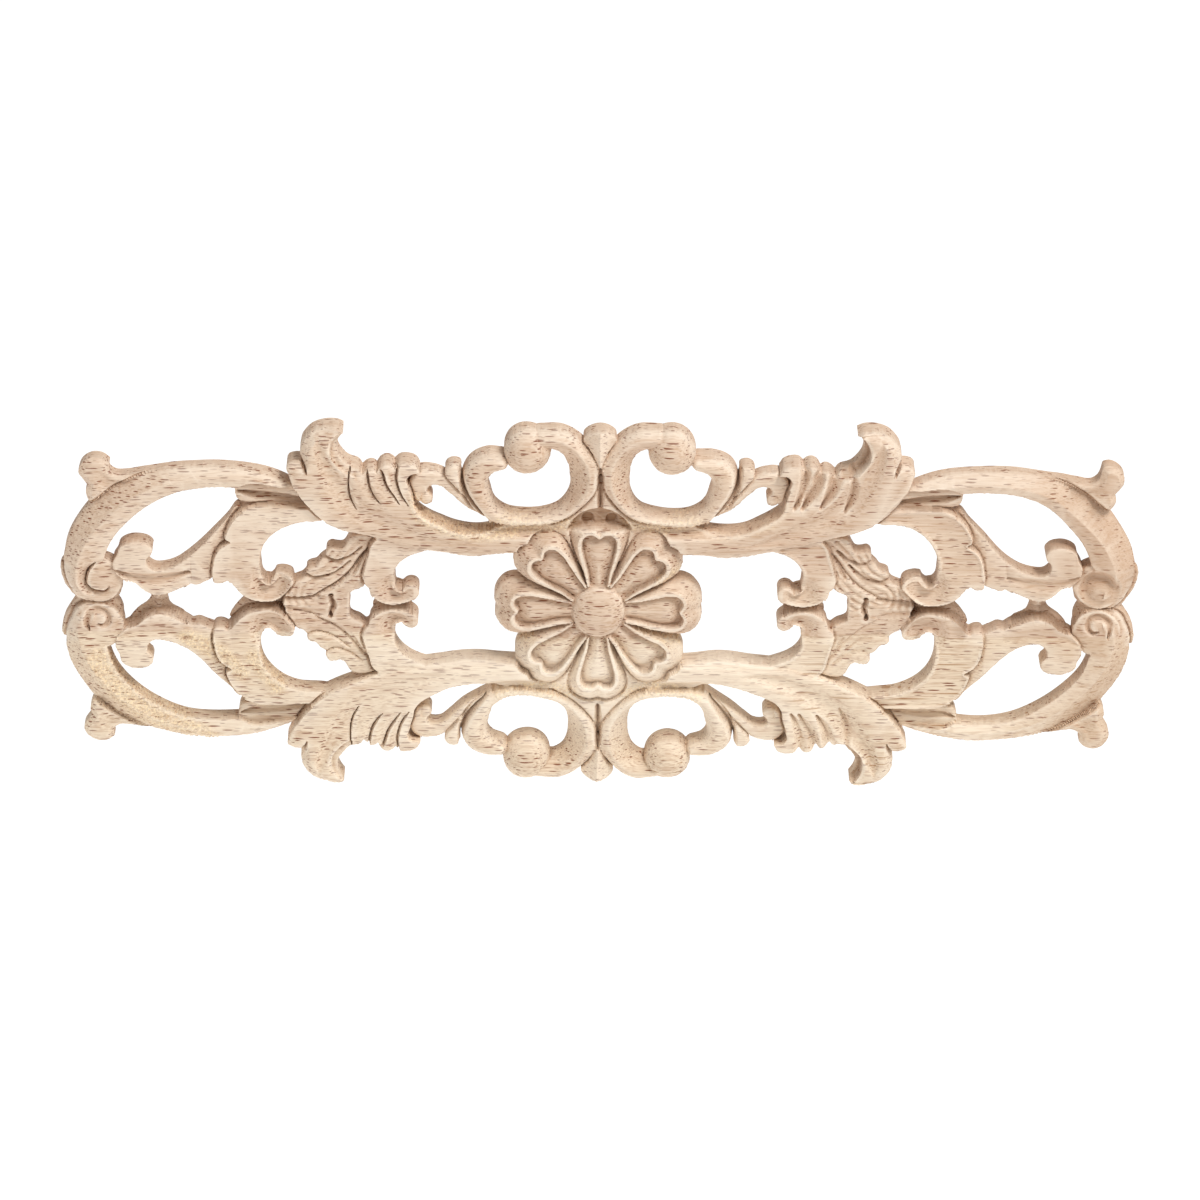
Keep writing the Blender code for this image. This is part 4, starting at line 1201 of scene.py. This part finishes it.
# Painted shade between the fuzz crumbs.
FUZZ_SHADE = colour(214, 168, 114)
GLUE_LINE = colour(168, 130, 96)
GRAIN_LINE = colour(160, 112, 62)
print("the upper board's colour is", tuple(round(part, 2) for part in UPPER_BOARD[:3]))

# %% [markdown]
# The material's tree needs a few more helpers, for arithmetic, noise and mixing. They work on
# this one tree, so they don't have to be told which.

# %% Helpers for the material
wood.use_nodes = True
tree = wood.node_tree
shader = tree.nodes["Principled BSDF"]
texture_place = add_node(tree, "ShaderNodeTexCoord").outputs["Object"]
to_mm = (1 / MM, 1 / MM, 1 / MM)
in_mm = add_node(tree, "ShaderNodeMapping", {"Vector": texture_place, "Scale": to_mm}).outputs[0]


def math_node(operation, a, b=0.0):
    return add_node(tree, "ShaderNodeMath", {0: a, 1: b}, operation=operation).outputs[0]


def stretched(x_size, y_size, z_size, shift=(0, 0, 0)):
    """Object coordinates scaled so that a pattern's unit is the given size in millimetres."""
    return add_node(
        tree, "ShaderNodeMapping",
        {"Vector": in_mm, "Scale": (1 / x_size, 1 / y_size, 1 / z_size), "Location": shift},
    ).outputs[0]


def noise(vector, detail, roughness=0.5):
    made = add_node(
        tree, "ShaderNodeTexNoise",
        {"Vector": vector, "Scale": 1.0, "Detail": detail, "Roughness": roughness},
    )
    return made.outputs["Fac"]


def between(value, low, high, to_low=0.0, to_high=1.0):
    """Rises from to_low to to_high while the value rises from low to high."""
    return add_node(
        tree, "ShaderNodeMapRange",
        {"Value": value, "From Min": low, "From Max": high, "To Min": to_low, "To Max": to_high},
    ).outputs[0]


def mix(factor, first, second):
    """The first colour, changed to the second by the factor."""
    inputs = {0: factor, 6: first, 7: second}
    return add_node(tree, "ShaderNodeMix", inputs, data_type="RGBA").outputs[2]


def read_attribute(name, share):
    """A point attribute of the mesh, times a share."""
    read = add_node(tree, "ShaderNodeAttribute", attribute_name=name, attribute_type="GEOMETRY")
    return math_node("MULTIPLY", read.outputs["Fac"], share)


print("the material measures in steps of", MM, "m")

# %% [markdown]
# Boards first. The joint between them wanders a little, and each board has paler patches,
# brown streaks and fine fibres. All of these are noise that is stretched along the grain.

# %% The two boards and their grain
JOINT_HEIGHT = -9.5
along = add_node(tree, "ShaderNodeSeparateXYZ", {0: in_mm})
x_mm, z_mm = along.outputs[0], along.outputs[2]
joint_wander = between(noise(stretched(40, 40, 40), 1.0), 0.0, 1.0, -0.4, 0.4)
from_joint = math_node("SUBTRACT", math_node("ADD", z_mm, joint_wander), JOINT_HEIGHT)
upper = between(from_joint, -0.3, 0.3)
base = mix(upper, LOWER_BOARD, UPPER_BOARD)
broad = noise(stretched(60, 14, 14), 2.0)
base = mix(between(broad, 0.35, 0.75, 0.0, 0.35), base, PALE_PATCH)
streaks = noise(stretched(50, 1.3, 1.6), 5.0, 0.65)
base = mix(between(streaks, 0.48, 0.7, 0.0, 0.55), base, STREAK_AND_SHADE)
fibre = noise(stretched(7, 0.4, 0.42), 2.0)
base = mix(between(fibre, 0.47, 0.72, 0.0, 0.7), base, STREAK_AND_SHADE)
print("the joint lies at", JOINT_HEIGHT, "mm")

# %% [markdown]
# A pore is the ellipsoid round the middle of one cell of a Voronoi pattern. The pattern's
# cells are long and thin, and only a share of them holds a pore. There are three sizes:
# dashes, which are denser on the left half, small specks, and long ones at the lower right.

# %% Pores
def vector_node(operation, a, b=(0, 0, 0)):
    return add_node(tree, "ShaderNodeVectorMath", {0: a, 1: b}, operation=operation)


def pores(cell, radii, share, shift):
    """Long thin pores: 1 inside a pore and 0 outside. The share is how many cells have one."""
    place = stretched(*cell, shift)
    cells = add_node(tree, "ShaderNodeTexVoronoi", {"Vector": place, "Scale": 1.0}, feature="F1")
    away = vector_node("SUBTRACT", place, cells.outputs["Position"])
    factor = tuple(c / r for c, r in zip(cell, radii))
    sized = vector_node("MULTIPLY", away.outputs[0], factor)
    far = vector_node("LENGTH", sized.outputs[0]).outputs["Value"]
    picked = add_node(tree, "ShaderNodeSeparateColor", {0: cells.outputs["Color"]})
    keep = math_node("LESS_THAN", picked.outputs[0], share)
    uneven = between(picked.outputs[1], 0.0, 1.0, 0.45, 1.0)
    soft_edge = between(math_node("DIVIDE", far, uneven), 1.05, 0.7)
    return math_node("MULTIPLY", soft_edge, keep)


left_half = between(x_mm, 40.0, -40.0)
dash_share = between(left_half, 0.0, 1.0, 0.45, 0.85)
dashes = pores((5.4, 0.8, 1.3), (2.5, 0.52, 0.27), dash_share, (0, 0, 0))
specks = pores((3.4, 0.6, 0.9), (1.5, 0.38, 0.16), 0.6, (11, 5, 7))
base = mix(dashes, base, PORE)
base = mix(math_node("MULTIPLY", specks, 0.55), base, PORE)
long_share = math_node("MULTIPLY", between(x_mm, 0.0, 40.0), between(z_mm, -12.0, -20.0))
long_pores = pores((22, 1.8, 2.4), (9, 1.2, 0.28), math_node("MULTIPLY", long_share, 0.6), (3, 9, 1))
base = mix(math_node("MULTIPLY", long_pores, 0.75), base, GRAIN_LINE)
print("three kinds of pores are in")

# %% [markdown]
# The colour is made browner towards the right end. Along the lower stems near the middle it is
# made paler, as painted light. The glue line shows only in places.

# %% Darker and paler stretches, and the glue line
# Browner towards the right end.
right_end = between(x_mm, 125.0, 160.0, 0.0, 0.42)
base = mix(right_end, base, STREAK_AND_SHADE)
# Painted light: the lower stems near the middle are made paler.
from_middle = between(math_node("ABSOLUTE", x_mm), 95.0, 35.0, 0.0, 0.45)
in_lower_stems = math_node("MULTIPLY", between(from_joint, 0.0, -8.0), between(z_mm, -52.0, -36.0))
base = mix(math_node("MULTIPLY", from_middle, in_lower_stems), base, PALE_HIGHLIGHT)
line_there = between(noise(stretched(12, 12, 12), 2.0), 0.4, 0.6)
line = math_node("MULTIPLY", between(math_node("ABSOLUTE", from_joint), 0.22, 0.1), line_there)
base = mix(math_node("MULTIPLY", line, 0.6), base, GLUE_LINE)
print("the tree has", len(tree.nodes), "nodes so far")

# %% [markdown]
# Torn fibres are a golden crumb, with painted shade between the crumbs. Crests get a painted
# highlight, and the hollows and walls get painted shade. All of them are read from the mesh's
# attributes. The drill marks are scorched brown, and the pocket and the leaf's cove get painted
# shade.

# %% Fuzz, painted highlight and painted shade
fuzzy = read_attribute("fuzz", 1.0)
crumb = noise(stretched(0.9, 1.2, 0.6), 3.0, 0.6)
base = mix(math_node("MULTIPLY", fuzzy, between(crumb, 0.5, 0.6, 0.1, 0.7)), base, FUZZ_COLOUR)
# Painted shade between the torn fibres' crumbs.
base = mix(math_node("MULTIPLY", fuzzy, between(crumb, 0.46, 0.36, 0.0, 0.4)), base, FUZZ_SHADE)
# Painted highlight on the crests and the outline's edges.
base = mix(read_attribute("crest", 0.5), base, PALE_HIGHLIGHT)
# Painted shade on the walls.
base = mix(read_attribute("wall", 0.16), base, STREAK_AND_SHADE)
# Painted shade in the hollows and cuts.
base = mix(read_attribute("hollow", 0.58), base, HOLLOW_SHADE)
# Burn marks in the drill holes, and painted shade in the pocket and the cove.
base = mix(read_attribute("burn_and_shade", 0.62), base, BURN_AND_SHADE_BROWN)
tree.links.new(base, shader.inputs["Base Color"])
print("the tree has", len(tree.nodes), "nodes with the wear")

# %% [markdown]
# Raw wood has a dull shine that is a little uneven along the fibres. Bump gives it the
# fibres and the pores, which are far too fine for the mesh, and the crumbs of the fuzz.
# Normals are smooth, but for creases sharper than 38 degrees.

# %% Shine, bump and smooth normals
CREASE = math.radians(38)
shader.inputs["IOR"].default_value = 1.45
rough = between(fibre, 0.3, 0.8, 0.62, 0.78)
tree.links.new(rough, shader.inputs["Roughness"])
height = math_node("ADD", math_node("MULTIPLY", fibre, 0.6), math_node("MULTIPLY", dashes, -0.6))
grain_bump = add_node(
    tree, "ShaderNodeBump", {"Height": height, "Strength": 0.6, "Distance": 0.3 * MM},
)
torn = math_node("MULTIPLY", crumb, fuzzy)
bump = add_node(
    tree, "ShaderNodeBump",
    {"Height": torn, "Strength": 0.6, "Distance": 0.7 * MM, "Normal": grain_bump.outputs[0]},
)
tree.links.new(bump.outputs[0], shader.inputs["Normal"])
carving.data.materials.clear()
carving.data.materials.append(wood)
carving.data.polygons.foreach_set("use_smooth", np.ones(len(carving.data.polygons), bool))
carving.data.set_sharp_from_angle(angle=CREASE)
carving.data.update()
print("the wood's material has", len(tree.nodes), "nodes")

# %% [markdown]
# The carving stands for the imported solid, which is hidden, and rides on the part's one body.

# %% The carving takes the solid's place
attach(carving, "root")
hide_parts("carved_applique")
print("the carving replaces the solid")

# %% [markdown]
# The photograph shows the applique cut out on white. A wide pale floor lies well below it, so
# that the openings look onto plain white and no shadow reaches the wood.

# %% The floor
FLOOR_HALF_WIDTH = 9.0
FLOOR_HEIGHT = -1.2
FLOOR_GLOW = 0.6


def square(name, half_width, height):
    """A level square sheet."""
    mesh = bpy.data.meshes.new(name)
    corners = [(-1, -1), (1, -1), (1, 1), (-1, 1)]
    mesh.from_pydata([(a * half_width, b * half_width, height) for a, b in corners], [], [(0, 1, 2, 3)])
    return bpy.data.objects.new(name, mesh)


floor = square("floor", FLOOR_HALF_WIDTH, FLOOR_HEIGHT)
bpy.context.scene.collection.objects.link(floor)
pale = bpy.data.materials.new("pale_floor")
pale.use_nodes = True
floor_inputs = pale.node_tree.nodes["Principled BSDF"].inputs
floor_inputs["Base Color"].default_value = (0.9, 0.9, 0.9, 1)
floor_inputs["Roughness"].default_value = 0.9
floor_inputs["Emission Color"].default_value = (1, 1, 1, 1)
floor_inputs["Emission Strength"].default_value = FLOOR_GLOW
floor.data.materials.append(pale)
print("the floor lies", -FLOOR_HEIGHT, "m below the applique's middle")

# %% [markdown]
# A large soft lamp stands at the upper right, and a cooler one grazes the tops of the forms.
# A weak one fills the left side, and a white world lights what is left.

# %% Lamps and world
WORLD_STRENGTH = 0.455
COOL_TINT = (0.84, 0.92, 1.0)


def soft_light(name, place, size, power, tint=(1, 1, 1)):
    """A square lamp that looks at the applique."""
    lamp = bpy.data.lights.new(name, "AREA")
    lamp.shape = "SQUARE"
    lamp.size = size
    lamp.energy = power
    lamp.color = tint
    holder = bpy.data.objects.new(name, lamp)
    holder.location = place
    holder.rotation_mode = "QUATERNION"
    holder.rotation_quaternion = (-Vector(place)).to_track_quat("-Z", "Y")
    bpy.context.scene.collection.objects.link(holder)


soft_light("key", (1.05, -1.3, 2.2), 0.7, 36)
soft_light("rim", (1.1, -0.3, 1.9), 0.8, 22, COOL_TINT)
soft_light("fill", (-1.2, -2.0, 0.3), 1.6, 5)
world = bpy.data.worlds.new("studio")
world.use_nodes = True
world_inputs = world.node_tree.nodes["Background"].inputs
world_inputs["Color"].default_value = (1, 1, 1, 1)
world_inputs["Strength"].default_value = WORLD_STRENGTH
bpy.context.scene.world = world
bpy.context.scene.view_settings.view_transform = "Standard"
print("three lamps and a white world")

# %% [markdown]
# The camera looks down at the applique by about 24 degrees from two metres away, through a
# long lens. Its place was found by matching the outline, and it is turned by less than half
# a degree, because the applique isn't quite level in the picture.

# %% The camera
AIM = Vector((0.0, -0.008, 0.0))
AZIMUTH, ELEVATION, ROLL = math.radians(-0.492), math.radians(23.878), math.radians(0.407)
DISTANCE = 2.1634
PICTURE = 1200
AIM_PIXEL = (598.5, 607.3)
PIXELS_PER_METRE = 3071.0
SENSOR = 36.0

back = Vector((
    math.sin(AZIMUTH) * math.cos(ELEVATION),
    -math.cos(AZIMUTH) * math.cos(ELEVATION),
    math.sin(ELEVATION),
))
across = Vector((0, 0, 1)).cross(back).normalized()
upward = back.cross(across)
level = math.atan2(upward.x, across.x) + ROLL
right_way = math.cos(level) * across + math.sin(level) * upward
up_way = -math.sin(level) * across + math.cos(level) * upward
lens = bpy.data.cameras.new("camera")
lens.sensor_width = SENSOR
lens.lens = PIXELS_PER_METRE * DISTANCE / PICTURE * SENSOR
lens.shift_x = (PICTURE / 2 - AIM_PIXEL[0]) / PICTURE
lens.shift_y = (AIM_PIXEL[1] - PICTURE / 2) / PICTURE
lens.clip_start = 0.1
lens.clip_end = 60.0
camera = bpy.data.objects.new("camera", lens)
turn = Matrix((right_way, up_way, back)).transposed().to_4x4()
camera.matrix_world = Matrix.Translation(AIM + back * DISTANCE) @ turn
bpy.context.scene.collection.objects.link(camera)
bpy.context.scene.camera = camera
print("the lens is", round(lens.lens, 1), "mm")
